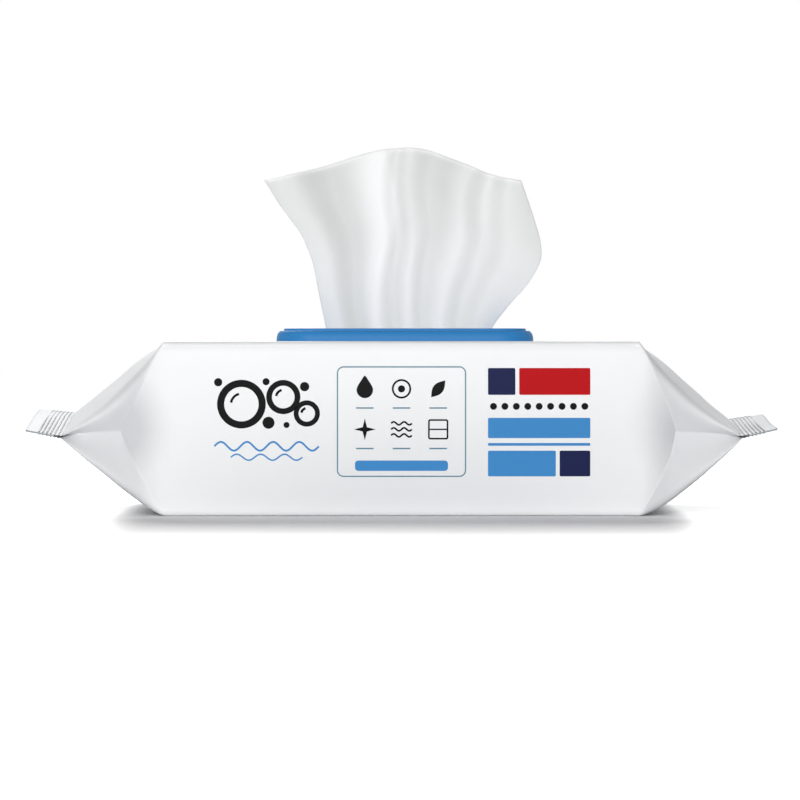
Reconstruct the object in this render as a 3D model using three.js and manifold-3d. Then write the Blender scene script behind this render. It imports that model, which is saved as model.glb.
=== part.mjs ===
// A flow-wrapped pack of wet wipes with a flip-top lid, opened, with one wipe drawn up through the lid.
// Millimetres, +Z up. The origin is the middle of the pack's base, on the surface that it stands on.
// +X runs along the pack, +Y from its front panel to its back panel.
import * as THREE from "three";
import { mergeVertices } from "three/addons/utils/BufferGeometryUtils.js";
import Module from "manifold-3d";

// Film pack: the straight part between the two tapering ends
const bodyLength = 174;
const bodyDepth = 110;
const bodyHeight = 64;
const filmWall = 0.6;
const topEdgeRound = 2.5;
const bottomEdgeRound = 4;
const panelBulge = 1.6;

// Film pack: the ends, where the top and the base close on each other and the sides tuck in
const endReach = 37.5;
const endEdgeRound = 1.2;
const endSwell = 7;
const shoulderSag = 4;
const crownSwell = 14;
const leftBaseSweep = 1.25;
const rightBaseSweep = 1.45;
const tuckMouthDepth = 8;
const tuckDepth = 5.5;
const tuckCurve = 2.2;
const tuckFloor = 0.6;
const tuckShare = 0.3;
const tuckBow = 0.2;
const creaseMargin = 1.2;
const leftCreaseAbove = 1;
const leftCreaseBelow = 1.1;
const rightCreaseAbove = 1.15;
const rightCreaseBelow = 1.5;
const leftTuckReach = 16.4;
const rightTuckReach = 13.9;

// End seals: flat fins that arch from the front corner to the back corner
const sealHeight = 28.8;
const sealLength = 13;
const sealThickness = 0.9;
const sealOverlap = 2.6;
const sealEdgeLift = 2.8;
const sealCrestLift = 1.6;
const leftSealCrown = 7.4;
const rightSealCrown = 4.9;
const crestRound = 6;
const crimpCount = 6;
const crimpPitch = 1.3;
const crimpDepth = 0.22;
const crimpStart = 0.5;

// Lengthwise seam, pressed flat into the base
const seamWidth = 12;
const seamGrooveWidth = 0.5;
const seamGrooveDepth = 0.25;

// Folded wipes inside the film
const stackEndGap = 3;
const stackSideGap = 1.2;
const stackHeadroom = 1.8;
const stackEdgeRound = 5;
const stackCornerRound = 6;
const restGap = 0.3;

// Lid base, bonded to the film round the dispensing opening
const lidLength = 96.6;
const lidDepth = 60;
const lidCorner = 13;
const lidShift = 1.3;
const floorThickness = 1;
const rimHeight = 3.9;
const rimDraft = 1.4;
const lipHeight = 0.9;
const lipThickness = 1.7;
const lipRound = 0.5;
const openingLength = 70;
const openingWidth = 30;
const beadHeight = 4.4;
const beadThickness = 1.4;
const filmCutMargin = 1.5;

// Lid cover, moulded with the base and joined to it by two thin hinge webs
const coverWall = 1.1;
const coverEdgeRound = 2.2;
const ceilingRound = 0.6;
const coverClearance = 0.3;
const ribThickness = 1;
const ribClearance = 0.4;
const ribOverlap = 0.8;
const hingeReach = 1.8;
const webThickness = 0.5;
const webWidth = 16;
const webSpacing = 52;
const webSink = 0.6;
const tabWidth = 20;
const tabReach = 3.2;
const tabThickness = 1.1;
const tabRound = 2.5;

// The wipe that stands up through the opening
const wipeRise = 69.1;
const wipeSpan = 105.6;
const wipeThickness = 0.9;
const wipeShift = -0.8;
const pleatDepthLow = 1.5;
const pleatDepthHigh = 3.4;
const foldSpacing = 0.25;
const wipeLean = 7;

// Mesh fineness
const cornerSteps = 7;
const edgeSteps = 4;
const wipeColumns = 46;
const wipeRows = 12;
const slopeStep = 0.004;
const sealColumns = 12;
const acrossShares = [0, 0.16, 0.38, 0.6];
const wallShares = [0.2, 0.5, 0.8];
const middleShares = [-0.3, 0, 0.3];
const mouthShares = [0, 0.2, 0.4, 0.6, 0.8, 0.92, 1];
const tailShares = [0.25, 0.5, 0.75, 1];

const lidBottom = bodyHeight;
const hingeY = lidDepth / 2 - rimDraft + hingeReach;
const hingeZ = rimHeight + coverClearance / 2;
const coverRise = rimHeight - restGap;
const stackTop = bodyHeight - filmWall - stackHeadroom;
const ends = {
  left: {
    tuckReach: leftTuckReach,
    crown: leftSealCrown,
    baseSweep: leftBaseSweep,
    creaseAbove: leftCreaseAbove,
    creaseBelow: leftCreaseBelow,
  },
  right: {
    tuckReach: rightTuckReach,
    crown: rightSealCrown,
    baseSweep: rightBaseSweep,
    creaseAbove: rightCreaseAbove,
    creaseBelow: rightCreaseBelow,
  },
};

const wasm = await Module();
wasm.setup();

const { lerp, clamp } = THREE.MathUtils;

// Solids and booleans

function solidOf(geometry) {
  const bare = new THREE.BufferGeometry().setAttribute("position", geometry.getAttribute("position"));
  bare.setIndex(geometry.index);
  const merged = mergeVertices(bare.index ? bare.toNonIndexed() : bare, 1e-4);
  const kept = [];
  for (let i = 0; i < merged.index.count; i += 3) {
    const [a, b, c] = [0, 1, 2].map((k) => merged.index.getX(i + k));
    if (a !== b && b !== c && c !== a) kept.push(a, b, c);
  }
  return new wasm.Manifold(
    new wasm.Mesh({
      numProp: 3,
      vertProperties: new Float32Array(merged.getAttribute("position").array),
      triVerts: new Uint32Array(kept),
    }),
  );
}

function geometryOf(solid) {
  const mesh = solid.getMesh();
  const geometry = new THREE.BufferGeometry();
  geometry.setAttribute("position", new THREE.BufferAttribute(new Float32Array(mesh.vertProperties), 3));
  geometry.setIndex(new THREE.BufferAttribute(new Uint32Array(mesh.triVerts), 1));
  geometry.computeVertexNormals();
  return geometry;
}

// Closes a loft at both ends with flat caps. An outline across x is read as (y, z), any other as (x, y).
function flatCaps(rings, flat) {
  const index = [];
  const flattened = (p) => (flat === "z" ? new THREE.Vector2(p.x, p.y) : new THREE.Vector2(p.y, p.z));
  [0, rings.length - 1].forEach((r, side) => {
    for (const corners of THREE.ShapeUtils.triangulateShape(rings[r].map(flattened), [])) {
      index.push(...(side ? corners : corners.reverse()).map((i) => r * rings[r].length + i));
    }
  });
  return index;
}

// Closes a loft whose end rings are narrow slots: at each end a strip of quads joins one face to the other.
function slotCaps(rings) {
  const count = rings[0].length;
  const index = [];
  [0, rings.length - 1].forEach((r, side) => {
    for (let i = 0; i < count / 2 - 1; i++) {
      const [a, b] = [r * count + i, r * count + i + 1];
      const [c, d] = [r * count + count - 2 - i, r * count + count - 1 - i];
      index.push(...(side ? [a, b, c, a, c, d] : [a, c, b, a, d, c]));
    }
  });
  return index;
}

// Joins rings of points with quads. An open loft is closed at both ends by caps.
function loft(rings, { closed = false, caps = (ends) => flatCaps(ends, "z") } = {}) {
  const count = rings[0].length;
  const points = rings.flat();
  const index = [];
  const last = closed ? rings.length : rings.length - 1;
  for (let r = 0; r < last; r++) {
    const here = r * count;
    const next = ((r + 1) % rings.length) * count;
    for (let i = 0; i < count; i++) {
      const [a, b, c, d] = [here + i, here + ((i + 1) % count), next + ((i + 1) % count), next + i];
      const straight = points[a].distanceTo(points[c]) <= points[b].distanceTo(points[d]);
      index.push(...(straight ? [a, b, c, a, c, d] : [a, b, d, b, c, d]));
    }
  }
  if (!closed) index.push(...caps(rings));
  const geometry = new THREE.BufferGeometry().setFromPoints(points);
  geometry.setIndex(index);
  return geometry;
}

const acrossX = { caps: (rings) => flatCaps(rings, "x") };

// A rounded rectangle of points, counter-clockwise seen from above.
function roundedLoop(halfX, halfY, radius, z) {
  const loop = [];
  const centres = [
    [halfX - radius, halfY - radius],
    [radius - halfX, halfY - radius],
    [radius - halfX, radius - halfY],
    [halfX - radius, radius - halfY],
  ];
  centres.forEach(([x, y], quarter) => {
    for (let i = 0; i <= cornerSteps; i++) {
      const angle = ((quarter + i / cornerSteps) * Math.PI) / 2;
      loop.push(new THREE.Vector3(x + radius * Math.cos(angle), y + radius * Math.sin(angle), z));
    }
  });
  return loop;
}

// The points of a corner at e, rounded from the side towards a to the side towards b.
function roundedCorner(a, e, b, radius, steps) {
  const [start, finish] = [a, b].map((p) => {
    const away = p.clone().sub(e);
    return away.setLength(Math.min(radius, 0.9 * away.length())).add(e);
  });
  return new THREE.QuadraticBezierCurve(start, e, finish).getPoints(steps);
}

// Film pack

// How high the arch of the end seal stands at y, from 0 at the edges to 1 at the crest.
function archShare(y) {
  const climb = (d) => Math.hypot(d, crestRound) - crestRound;
  return 1 - climb(y) / climb(bodyDepth / 2);
}

// The named points of half the pack's outline at x, as (y, z) with y from 0 outwards.
function packOutline(x) {
  const end = x < 0 ? ends.left : ends.right;
  const past = Math.max(0, Math.abs(x) - bodyLength / 2);
  const share = clamp(past / endReach, 0, 1);
  const baseShare = Math.pow(share, end.baseSweep);
  const mouth = clamp(past / end.tuckReach, 0, 1);
  const bow = 4 * share * (1 - share);
  const top = lerp(bodyHeight, sealHeight + sealThickness / 2, share) - shoulderSag * bow;
  const base = lerp(0, sealHeight - sealThickness / 2, baseShare);
  const middle = lerp(bodyHeight / 2, sealHeight, share);
  const swell = endSwell * bow;
  const round = {
    top: lerp(topEdgeRound, endEdgeRound, share) + swell,
    base: lerp(bottomEdgeRound, endEdgeRound, share) + swell / 2,
  };

  // The side wall narrows to the tuck's floor as the creases run from the edges to the mouth of the tuck.
  const opened = (sweep) => Math.pow(1 - mouth, 1 / sweep);
  const margin = creaseMargin * (1 - mouth);
  const floor = Math.min(tuckFloor, tuckShare * (top - middle), tuckShare * (middle - base));
  const upper = Math.min(lerp(middle, bodyHeight, opened(end.creaseAbove)), top - margin * topEdgeRound);
  const lower = Math.max(lerp(middle, 0, opened(end.creaseBelow)), base + margin * bottomEdgeRound);
  const inward =
    mouth < 1
      ? tuckMouthDepth * Math.pow(mouth, tuckCurve)
      : lerp(tuckMouthDepth, tuckDepth, (past - end.tuckReach) / (endReach - end.tuckReach));
  const wall = bodyDepth / 2 - inward;
  const fade = Math.min(1, Math.abs(x) / (bodyLength / 2 + end.tuckReach));
  const crownTop = end.crown * share + (1 - share) * ((crownSwell * bow) / 4 + shoulderSag * 4 * share);
  const topAt = (y) => new THREE.Vector2(y, top + crownTop * archShare(y));
  const baseAt = (y) => new THREE.Vector2(y, base + end.crown * baseShare * archShare(y));
  const arch = (end.crown * (share + baseShare) * archShare(wall)) / 2;
  return {
    round,
    bulge: lerp(panelBulge, tuckBow, fade * fade),
    top: acrossShares.map((t) => topAt((t * bodyDepth) / 2)),
    edgeTop: topAt(bodyDepth / 2),
    creaseTop: new THREE.Vector2(wall, Math.max(upper, middle + floor) + arch),
    creaseBase: new THREE.Vector2(wall, Math.min(lower, middle - floor) + arch),
    edgeBase: baseAt(bodyDepth / 2),
    base: acrossShares.map((t) => baseAt((t * bodyDepth) / 2)).reverse(),
  };
}

// Turns half an outline, from the top to the base, into a whole ring at x.
function packRing(x, half) {
  const front = half.map((p) => new THREE.Vector3(x, -p.x, p.y));
  const back = half.slice(1, -1).map((p) => new THREE.Vector3(x, p.x, p.y));
  return [...front, ...back.reverse()];
}

// The half outline with its corners rounded and its side wall bowed out.
function finishedHalf(o, steps, along) {
  const wall = along.map((t) => {
    const p = o.creaseTop.clone().lerp(o.creaseBase, t);
    return p.setX(p.x + o.bulge * 4 * t * (1 - t));
  });
  return [
    ...o.top,
    ...roundedCorner(o.top.at(-1), o.edgeTop, o.creaseTop, o.round.top, steps),
    o.creaseTop,
    ...wall,
    o.creaseBase,
    ...roundedCorner(o.creaseBase, o.edgeBase, o.base[0], o.round.base, steps),
    ...o.base,
  ];
}

function outerRing(x) {
  return packRing(x, finishedHalf(packOutline(x), edgeSteps, wallShares));
}

// Where the lines through a-b and b-c meet once both are moved inwards by the film's thickness.
function insetCorner(a, b, c) {
  const before = b.clone().sub(a).normalize();
  const after = c.clone().sub(b).normalize();
  const inwards = (d) => new THREE.Vector2(d.y, -d.x).multiplyScalar(filmWall);
  const p = b.clone().add(inwards(before));
  const q = b.clone().add(inwards(after));
  const turn = before.cross(after);
  if (Math.abs(turn) < 1e-4) return p;
  return p.addScaledVector(before, q.sub(p).cross(after) / turn);
}

// The same outline inside the film.
function innerRing(x) {
  const o = packOutline(x);
  const mirrored = (p) => new THREE.Vector2(-p.x, p.y);
  const line = [...o.top, o.edgeTop, o.creaseTop, o.creaseBase, o.edgeBase, ...o.base];
  const path = [mirrored(line[1]), ...line, mirrored(line.at(-2))];
  const moved = line.map((p, i) => insetCorner(path[i], p, path[i + 2]));
  const count = acrossShares.length;
  const [edgeTop, creaseTop, creaseBase, edgeBase] = moved.slice(count, -count);
  const [top, base] = [moved.slice(0, count), moved.slice(-count)];
  return packRing(x, finishedHalf({ ...o, top, edgeTop, creaseTop, creaseBase, edgeBase, base }, 2, [0.5]));
}

// Stations along the pack, close together where the ends fold. The hollow stops short of the seals.
function packStations(hollow) {
  const past = (end) => {
    const mouth = mouthShares.map((t) => t * end.tuckReach);
    const tail = tailShares.map((t) => lerp(end.tuckReach, endReach, t));
    return [...mouth, ...(hollow ? tail.slice(0, -1) : tail)].map((d) => bodyLength / 2 + d);
  };
  const middle = middleShares.map((t) => t * bodyLength);
  return [...past(ends.left).map((x) => -x).reverse(), ...middle, ...past(ends.right)];
}

// One end seal: a crimped fin that follows the arch, with its crimps next to the root.
function sealFin(side) {
  const end = side < 0 ? ends.left : ends.right;
  const root = bodyLength / 2 + endReach;
  const stations = [[-sealOverlap, 0]];
  for (let i = 0; i <= 2 * crimpCount; i++) {
    stations.push([crimpStart + (i * crimpPitch) / 2, i % 2 ? crimpDepth : 0]);
  }
  stations.push([(crimpStart + crimpCount * crimpPitch + sealLength) / 2, 0], [sealLength, 0]);
  const rings = [];
  for (const [out, raised] of stations) {
    const lift = clamp(out / sealLength, 0, 1);
    const centre = (y) => {
      const arch = archShare(y);
      return sealHeight + end.crown * arch + lift * lerp(sealEdgeLift, sealCrestLift, arch) + raised;
    };
    const across = Array.from({ length: sealColumns + 1 }, (_, i) => (i / sealColumns - 0.5) * bodyDepth);
    const x = side * (root + out);
    const row = (offset) => across.map((y) => new THREE.Vector3(x, y, centre(y) + offset));
    rings.push([...row(sealThickness / 2).reverse(), ...row(-sealThickness / 2)]);
  }
  if (side < 0) rings.reverse();
  return solidOf(loft(rings, acrossX));
}

// The lengthwise seam shows in the base as a strip between two shallow grooves.
function seamGrooves() {
  return [-1, 1].map((side) => {
    const groove = new THREE.BoxGeometry(bodyLength, seamGrooveWidth, 2 * seamGrooveDepth);
    groove.translate(0, (side * seamWidth) / 2, 0);
    return solidOf(groove);
  });
}

function filmPack() {
  const outer = solidOf(loft(packStations(false).map(outerRing), acrossX));
  const hollow = solidOf(loft(packStations(true).map(innerRing), acrossX));
  const cut = new THREE.ExtrudeGeometry(
    stadium(openingLength + 2 * filmCutMargin, openingWidth + 2 * filmCutMargin, lidShift),
    { depth: 4 * filmWall, bevelEnabled: false, curveSegments: 2 * cornerSteps },
  );
  cut.translate(0, 0, bodyHeight - 3 * filmWall);
  let film = outer.add(sealFin(-1)).add(sealFin(1)).subtract(hollow).subtract(solidOf(cut));
  for (const groove of seamGrooves()) film = film.subtract(groove);
  return geometryOf(film);
}

function stadium(length, width, shift) {
  const straight = (length - width) / 2;
  const shape = new THREE.Shape();
  shape.absarc(shift + straight, 0, width / 2, -Math.PI / 2, Math.PI / 2, false);
  shape.absarc(shift - straight, 0, width / 2, Math.PI / 2, (3 * Math.PI) / 2, false);
  return shape;
}

// Folded wipes

function wipeStack() {
  const halfX = bodyLength / 2 - stackEndGap;
  const halfY = bodyDepth / 2 - filmWall - stackSideGap;
  const base = filmWall + restGap;
  const edge = new THREE.EllipseCurve(0, 0, stackEdgeRound, stackEdgeRound, 0, Math.PI / 2);
  const profile = edge.getPoints(edgeSteps);
  const lower = profile.map((p) => [stackEdgeRound - p.y, base + stackEdgeRound - p.x]);
  const upper = profile.map((p) => [stackEdgeRound - p.x, stackTop - stackEdgeRound + p.y]);
  const rings = [...lower, ...upper].map(([inset, z]) =>
    roundedLoop(halfX - inset, halfY - inset, Math.max(stackCornerRound - inset, 1), z),
  );
  return geometryOf(solidOf(loft(rings)));
}

// Lid

// A ring of the lid's own outline, inset by so much, at a height above the film.
function lidLoop(inset, height) {
  return roundedLoop(lidLength / 2 - inset, lidDepth / 2 - inset, lidCorner - inset, height);
}

// A ring round the dispensing opening, this much outside its edge.
function openingLoop(outset, height) {
  const halfWidth = openingWidth / 2 + outset;
  return roundedLoop(openingLength / 2 + outset, halfWidth, halfWidth, height);
}

// The rim's outer side, from the film up to the parting line, in shares of its draft and its height.
const rimProfile = [[0, 0], [0.12, 0.4], [0.32, 0.68], [0.62, 0.88], [1, 1]];

function lidBase() {
  const lipOuter = rimDraft + coverWall + coverClearance;
  const lipInner = lipOuter + lipThickness;
  const lipTop = rimHeight + lipHeight;
  const body = solidOf(
    loft(
      [
        ...rimProfile.map(([inset, up]) => lidLoop(inset * rimDraft, up * rimHeight)),
        lidLoop(lipOuter, rimHeight),
        lidLoop(lipOuter, lipTop - lipRound),
        lidLoop(lipOuter + 0.3 * lipRound, lipTop - 0.3 * lipRound),
        lidLoop(lipOuter + lipRound, lipTop),
        lidLoop(lipInner - lipRound, lipTop),
        lidLoop(lipInner, lipTop - lipRound),
        lidLoop(lipInner, floorThickness),
        openingLoop(beadThickness, floorThickness),
        openingLoop(0.9 * beadThickness, 0.85 * beadHeight),
        openingLoop(0.6 * beadThickness, beadHeight),
        openingLoop(0.2 * beadThickness, 0.93 * beadHeight),
        openingLoop(0, 0.7 * beadHeight),
        openingLoop(0, 0),
      ],
      { closed: true },
    ),
  );
  return geometryOf(hingeWebs(body, -1));
}

// Adds the half of the hinge webs that belongs to the base (side -1) or to the closed cover (side 1).
function hingeWebs(body, side) {
  const from = lidDepth / 2 - rimDraft - webSink;
  const to = hingeY - coverClearance / 2;
  const z = hingeZ + side * (coverClearance / 2 + webThickness / 2);
  let joined = body;
  for (const at of [-webSpacing / 2, webSpacing / 2]) {
    const web = new THREE.BoxGeometry(webWidth, to - from, webThickness);
    web.translate(at, (from + to) / 2, z);
    joined = joined.add(solidOf(web));
  }
  return joined;
}

// The cover as it lies when it is shut.
function lidCover() {
  const bottom = rimHeight + coverClearance;
  const top = bottom + coverRise;
  const inside = rimDraft + coverWall;
  const ceiling = top - coverWall;
  const shell = solidOf(
    loft([
      lidLoop(inside + ceilingRound, ceiling),
      lidLoop(inside, ceiling - ceilingRound),
      lidLoop(inside, bottom),
      lidLoop(rimDraft, bottom),
      lidLoop(rimDraft, top - coverEdgeRound),
      lidLoop(rimDraft + 0.15 * coverEdgeRound, top - 0.5 * coverEdgeRound),
      lidLoop(rimDraft + 0.5 * coverEdgeRound, top - 0.15 * coverEdgeRound),
      lidLoop(rimDraft + coverEdgeRound, top),
    ]),
  );
  const ribInner = beadThickness + ribClearance;
  const ribFoot = beadHeight - ribOverlap;
  const rib = solidOf(
    loft(
      [
        openingLoop(ribInner, ribFoot),
        openingLoop(ribInner + ribThickness, ribFoot),
        openingLoop(ribInner + ribThickness, ceiling + coverWall / 2),
        openingLoop(ribInner, ceiling + coverWall / 2),
      ],
      { closed: true },
    ),
  );
  return geometryOf(hingeWebs(shell.add(rib).add(fingerTab(bottom)), 1));
}

// The tab that a finger lifts, on the front of the cover's edge.
function fingerTab(bottom) {
  const front = rimDraft - lidDepth / 2;
  const centre = front - tabReach + tabRound;
  const outline = new THREE.Shape();
  outline.moveTo(-tabWidth / 2, front + coverWall / 2);
  outline.lineTo(-tabWidth / 2, centre);
  outline.absarc(tabRound - tabWidth / 2, centre, tabRound, Math.PI, 1.5 * Math.PI, false);
  outline.absarc(tabWidth / 2 - tabRound, centre, tabRound, 1.5 * Math.PI, 2 * Math.PI, false);
  outline.lineTo(tabWidth / 2, front + coverWall / 2);
  const options = { depth: tabThickness, bevelEnabled: false, curveSegments: edgeSteps };
  return solidOf(new THREE.ExtrudeGeometry(outline, options).translate(0, 0, bottom));
}

// Pulled-up wipe

// The sheet's side edges as points (across, up): across is a share of half its widest span, and up is
// a share of its rise.
const leftEdge = edgeCurve([
  [-0.53, -0.12], [-0.555, 0.013], [-0.604, 0.195], [-0.64, 0.34],
  [-0.68, 0.43], [-0.741, 0.531], [-0.877, 0.673], [-1, 0.822],
]);
const rightEdge = edgeCurve([
  [0.58, -0.12], [0.65, 0.013], [0.778, 0.14], [0.9, 0.245],
  [0.985, 0.355], [1, 0.45], [0.958, 0.586], [0.856, 0.82],
]);

// Its top edge from left to right.
const topRises = [0.822, 0.86, 0.908, 0.962, 0.998, 0.993, 0.93, 0.86, 0.82];
const topEdge = edgeCurve(topRises.map((up, i) => [i, up]));

// Where the folds cross the sheet, from -1 at its left edge to 1 at its right edge: at the lid, halfway and
// at the top. Hollows and crests towards the front take turns, and the first is a hollow.
const folds = [
  [-1.3, -1.3, -1.3], [-0.8, -0.86, -0.82], [-0.6, -0.62, -0.51], [-0.34, -0.37, -0.08],
  [-0.11, -0.23, 0.05], [0.09, -0.1, 0.14], [0.27, 0.05, 0.36], [0.48, 0.3, 0.62],
  [0.68, 0.5, 0.77], [0.89, 0.71, 0.92], [1.2, 1.15, 1.2],
];

function edgeCurve(points) {
  return new THREE.SplineCurve(points.map(([across, up]) => new THREE.Vector2(across, up)));
}

// How far the folds push the sheet back at u, from -1 on a deep crest to 1 in a deep hollow. Folds that lie
// close together are shallow.
function foldDepth(u, climb) {
  const bow = 4 * climb * (1 - climb);
  const places = folds.map(([low, half, high]) => lerp(low, high, climb) + bow * (half - (low + high) / 2));
  const depths = places.map((at, i) => {
    const gap = Math.min(at - (places[i - 1] ?? -Infinity), (places[i + 1] ?? Infinity) - at);
    return (i % 2 ? -1 : 1) * Math.min(1, gap / foldSpacing);
  });
  const i = clamp(places.findIndex((at) => at > u) - 1, 0, places.length - 2);
  const t = (u - places[i]) / (places[i + 1] - places[i]);
  return lerp(depths[i], depths[i + 1], (1 - Math.cos(Math.PI * t)) / 2);
}

// The sheet's middle surface, with z from the top of the lid's lip.
function wipePoint(u, v) {
  const side = (u + 1) / 2;
  const left = leftEdge.getPoint(v);
  const right = rightEdge.getPoint(v);
  const low = leftEdge.getPoint(0).y;
  const corner = lerp(leftEdge.getPoint(1).y, rightEdge.getPoint(1).y, side);
  const climb = (lerp(left.y, right.y, side) - low) / (corner - low);
  return new THREE.Vector3(
    (lerp(left.x, right.x, side) * wipeSpan) / 2 + wipeShift,
    lerp(pleatDepthLow, pleatDepthHigh, climb) * foldDepth(u, climb) + wipeLean * climb * climb,
    lerp(low, topEdge.getPoint(side).y, climb) * wipeRise,
  );
}

function pulledWipe() {
  const lidTop = bodyHeight + rimHeight + lipHeight;
  const foot = stackTop + restGap;
  const lowest = leftEdge.getPoint(0).y * wipeRise;
  const settle = (p) => (p.z < 0 ? p.setZ((p.z / lowest) * (foot - lidTop)) : p);
  const at = (u, v) => settle(wipePoint(u, v));
  const rings = [];
  for (let row = 0; row <= wipeRows; row++) {
    const v = row / wipeRows;
    const faces = [[], []];
    for (let column = 0; column <= wipeColumns; column++) {
      const u = lerp(-1, 1, column / wipeColumns);
      const along = at(Math.min(1, u + slopeStep), v).sub(at(Math.max(-1, u - slopeStep), v));
      const normal = new THREE.Vector3(along.y, -along.x, 0).normalize();
      const p = at(u, v);
      faces[0].push(p.clone().addScaledVector(normal, wipeThickness / 2));
      faces[1].push(p.clone().addScaledVector(normal, -wipeThickness / 2));
    }
    rings.push([...faces[0], ...faces[1].reverse()]);
  }
  const geometry = loft(rings, { caps: slotCaps });
  geometry.translate(lidShift, 0, lidTop);
  return geometryOf(solidOf(geometry));
}

// Assembly

const finish = {
  film: new THREE.MeshStandardMaterial({ color: 0xf4f5f6, roughness: 0.32, metalness: 0 }),
  wipe: new THREE.MeshStandardMaterial({ color: 0xf0f2f0, roughness: 0.85, metalness: 0 }),
  lid: new THREE.MeshStandardMaterial({ color: 0x4187c5, roughness: 0.35, metalness: 0 }),
};

function named(name, geometry, material) {
  const mesh = new THREE.Mesh(geometry, material);
  mesh.name = name;
  return mesh;
}

const pack = new THREE.Group();
pack.add(named("film_pack", filmPack(), finish.film));
pack.add(named("wipe_stack", wipeStack(), finish.wipe));
pack.add(named("pulled_wipe", pulledWipe(), finish.wipe));

const lid = new THREE.Group();
lid.position.set(lidShift, 0, lidBottom);
lid.add(named("lid_base", lidBase(), finish.lid));

// The cover hangs on the hinge line, swung right back.
const cover = named("lid_cover", lidCover(), finish.lid);
cover.geometry.translate(0, -hingeY, -hingeZ);
const hinge = new THREE.Group();
hinge.position.set(0, hingeY, hingeZ);
hinge.rotation.x = -Math.PI;
hinge.add(cover);
lid.add(hinge);
pack.add(lid);

export default pack;
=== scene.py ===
"""A flow-wrapped pack of wet wipes with its flip-top lid open and one wipe drawn up.

Sizes in this file are millimetres unless a comment says otherwise. Meshes are scaled to metres when made.
+X runs along the pack, +Y from its front panel to its back panel, +Z up from the surface that it stands on.
"""

import math
from types import SimpleNamespace

import bmesh
import bpy
from bpy.props import FloatProperty, FloatVectorProperty, IntProperty, PointerProperty
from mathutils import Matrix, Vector, noise
from mathutils.bvhtree import BVHTree


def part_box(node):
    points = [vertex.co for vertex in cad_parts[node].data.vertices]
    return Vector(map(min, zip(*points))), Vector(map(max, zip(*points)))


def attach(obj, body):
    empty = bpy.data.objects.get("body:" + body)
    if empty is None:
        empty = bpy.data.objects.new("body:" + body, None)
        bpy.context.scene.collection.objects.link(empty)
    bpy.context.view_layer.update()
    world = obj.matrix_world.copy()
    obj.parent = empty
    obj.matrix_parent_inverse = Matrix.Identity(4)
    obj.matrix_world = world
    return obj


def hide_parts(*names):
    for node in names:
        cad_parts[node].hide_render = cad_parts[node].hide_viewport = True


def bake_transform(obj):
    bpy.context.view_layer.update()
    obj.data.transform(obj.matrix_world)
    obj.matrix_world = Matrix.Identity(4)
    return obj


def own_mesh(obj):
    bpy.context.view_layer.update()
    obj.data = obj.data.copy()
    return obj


bl_info = {
    "name": "Wet wipes pack",
    "version": (1, 0, 0),
    "blender": (4, 5, 0),
    "location": "View3D > Sidebar > Wipes pack",
    "description": "Makes the film, print, lid and wipes of a soft pack of wet wipes",
    "category": "Object",
}

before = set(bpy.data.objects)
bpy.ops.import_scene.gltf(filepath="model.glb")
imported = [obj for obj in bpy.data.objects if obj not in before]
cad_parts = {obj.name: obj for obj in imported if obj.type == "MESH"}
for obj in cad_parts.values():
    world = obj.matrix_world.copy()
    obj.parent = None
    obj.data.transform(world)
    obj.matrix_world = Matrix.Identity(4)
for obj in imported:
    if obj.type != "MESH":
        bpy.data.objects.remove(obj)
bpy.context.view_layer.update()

MM = 0.001

# Film pack: the straight part
BODY_LENGTH = 174
BODY_DEPTH = 110
BODY_HEIGHT = 64
TOP_EDGE_ROUND = 1.8
BOTTOM_EDGE_ROUND = 2.4
PANEL_BULGE = 1.6
FLAT_SHARE = 0.6

# Film pack: the folded ends
END_REACH = 37.5
END_EDGE_ROUND = 1.2
END_SWELL = 7
SHOULDER_SAG = 4
CROWN_SWELL = 14
TUCK_MOUTH_DEPTH = 8
TUCK_DEPTH = 5.5
TUCK_CURVE = 2.2
TUCK_FLOOR = 0.15
TUCK_BOW = 0.2
TUCK_FADE = 3
CREASE_MARGIN = 1.2

# End seals
SEAL_HEIGHT = 28.8
SEAL_LENGTH = 13
SEAL_THICKNESS = 0.9
SEAL_EDGE_LIFT = 2.8
SEAL_CREST_LIFT = 1.6
SEAL_WAVE = 0.35
SEAL_WAVE_LENGTH = 9
CREST_ROUND = 6
CRIMP_BAR = 0.32
CRIMP_START = 1.1
CRIMP_INSET = 0.4
CRIMP_STEPS = 64
# Each end's vertex, crown and fade tones set the shade painted on it
LEFT_END = SimpleNamespace(
    side=-1, tuck_reach=16.4, crown=7.4, base_sweep=1.25, crease_above=1, crease_below=1.1, fade=12,
    vertex_tone=1.3, crown_tone=0,
)
RIGHT_END = SimpleNamespace(
    side=1, tuck_reach=13.9, crown=4.9, base_sweep=1.45, crease_above=1.15, crease_below=1.5, fade=4,
    vertex_tone=0.85, crown_tone=0.4,
)
# How far the painted shade reaches round the vertex where the creases meet
VERTEX_SHADE = 26

# Seam pressed flat into the base
SEAM_WIDTH = 12
SEAM_GROOVE_WIDTH = 0.5
SEAM_GROOVE_DEPTH = 0.25

# Folded wipes
STACK_TOP = 61.6
STACK_CORNER_ROUND = 6

# Lid
LID_SHIFT = 1.3
LID_LENGTH = 96.6
LID_DEPTH = 60
LID_CORNER = 13
RIM_HEIGHT = 3.9
RIM_DRAFT = 1.4
LIP_HEIGHT = 0.9
LIP_THICKNESS = 1.7
FLOOR_THICKNESS = 1
OPENING_LENGTH = 70
OPENING_WIDTH = 30
BEAD_HEIGHT = 4.4
BEAD_THICKNESS = 1.4
FILM_CUT_MARGIN = 1.5
COVER_WALL = 1.1
COVER_RISE = 3.6
COVER_CLEARANCE = 0.3
COVER_EDGE_ROUND = 2.2
RIB_THICKNESS = 1
RIB_CLEARANCE = 0.4
RIB_OVERLAP = 0.8
TAB_WIDTH = 20
TAB_REACH = 3.2
TAB_THICKNESS = 1.1
TAB_ROUND = 2.5
TAB_BEVEL = 0.25
WEB_WIDTH = 16
WEB_SPACING = 52
WEB_SINK = 0.6
WEB_THIN_SHARE = 0.55
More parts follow.
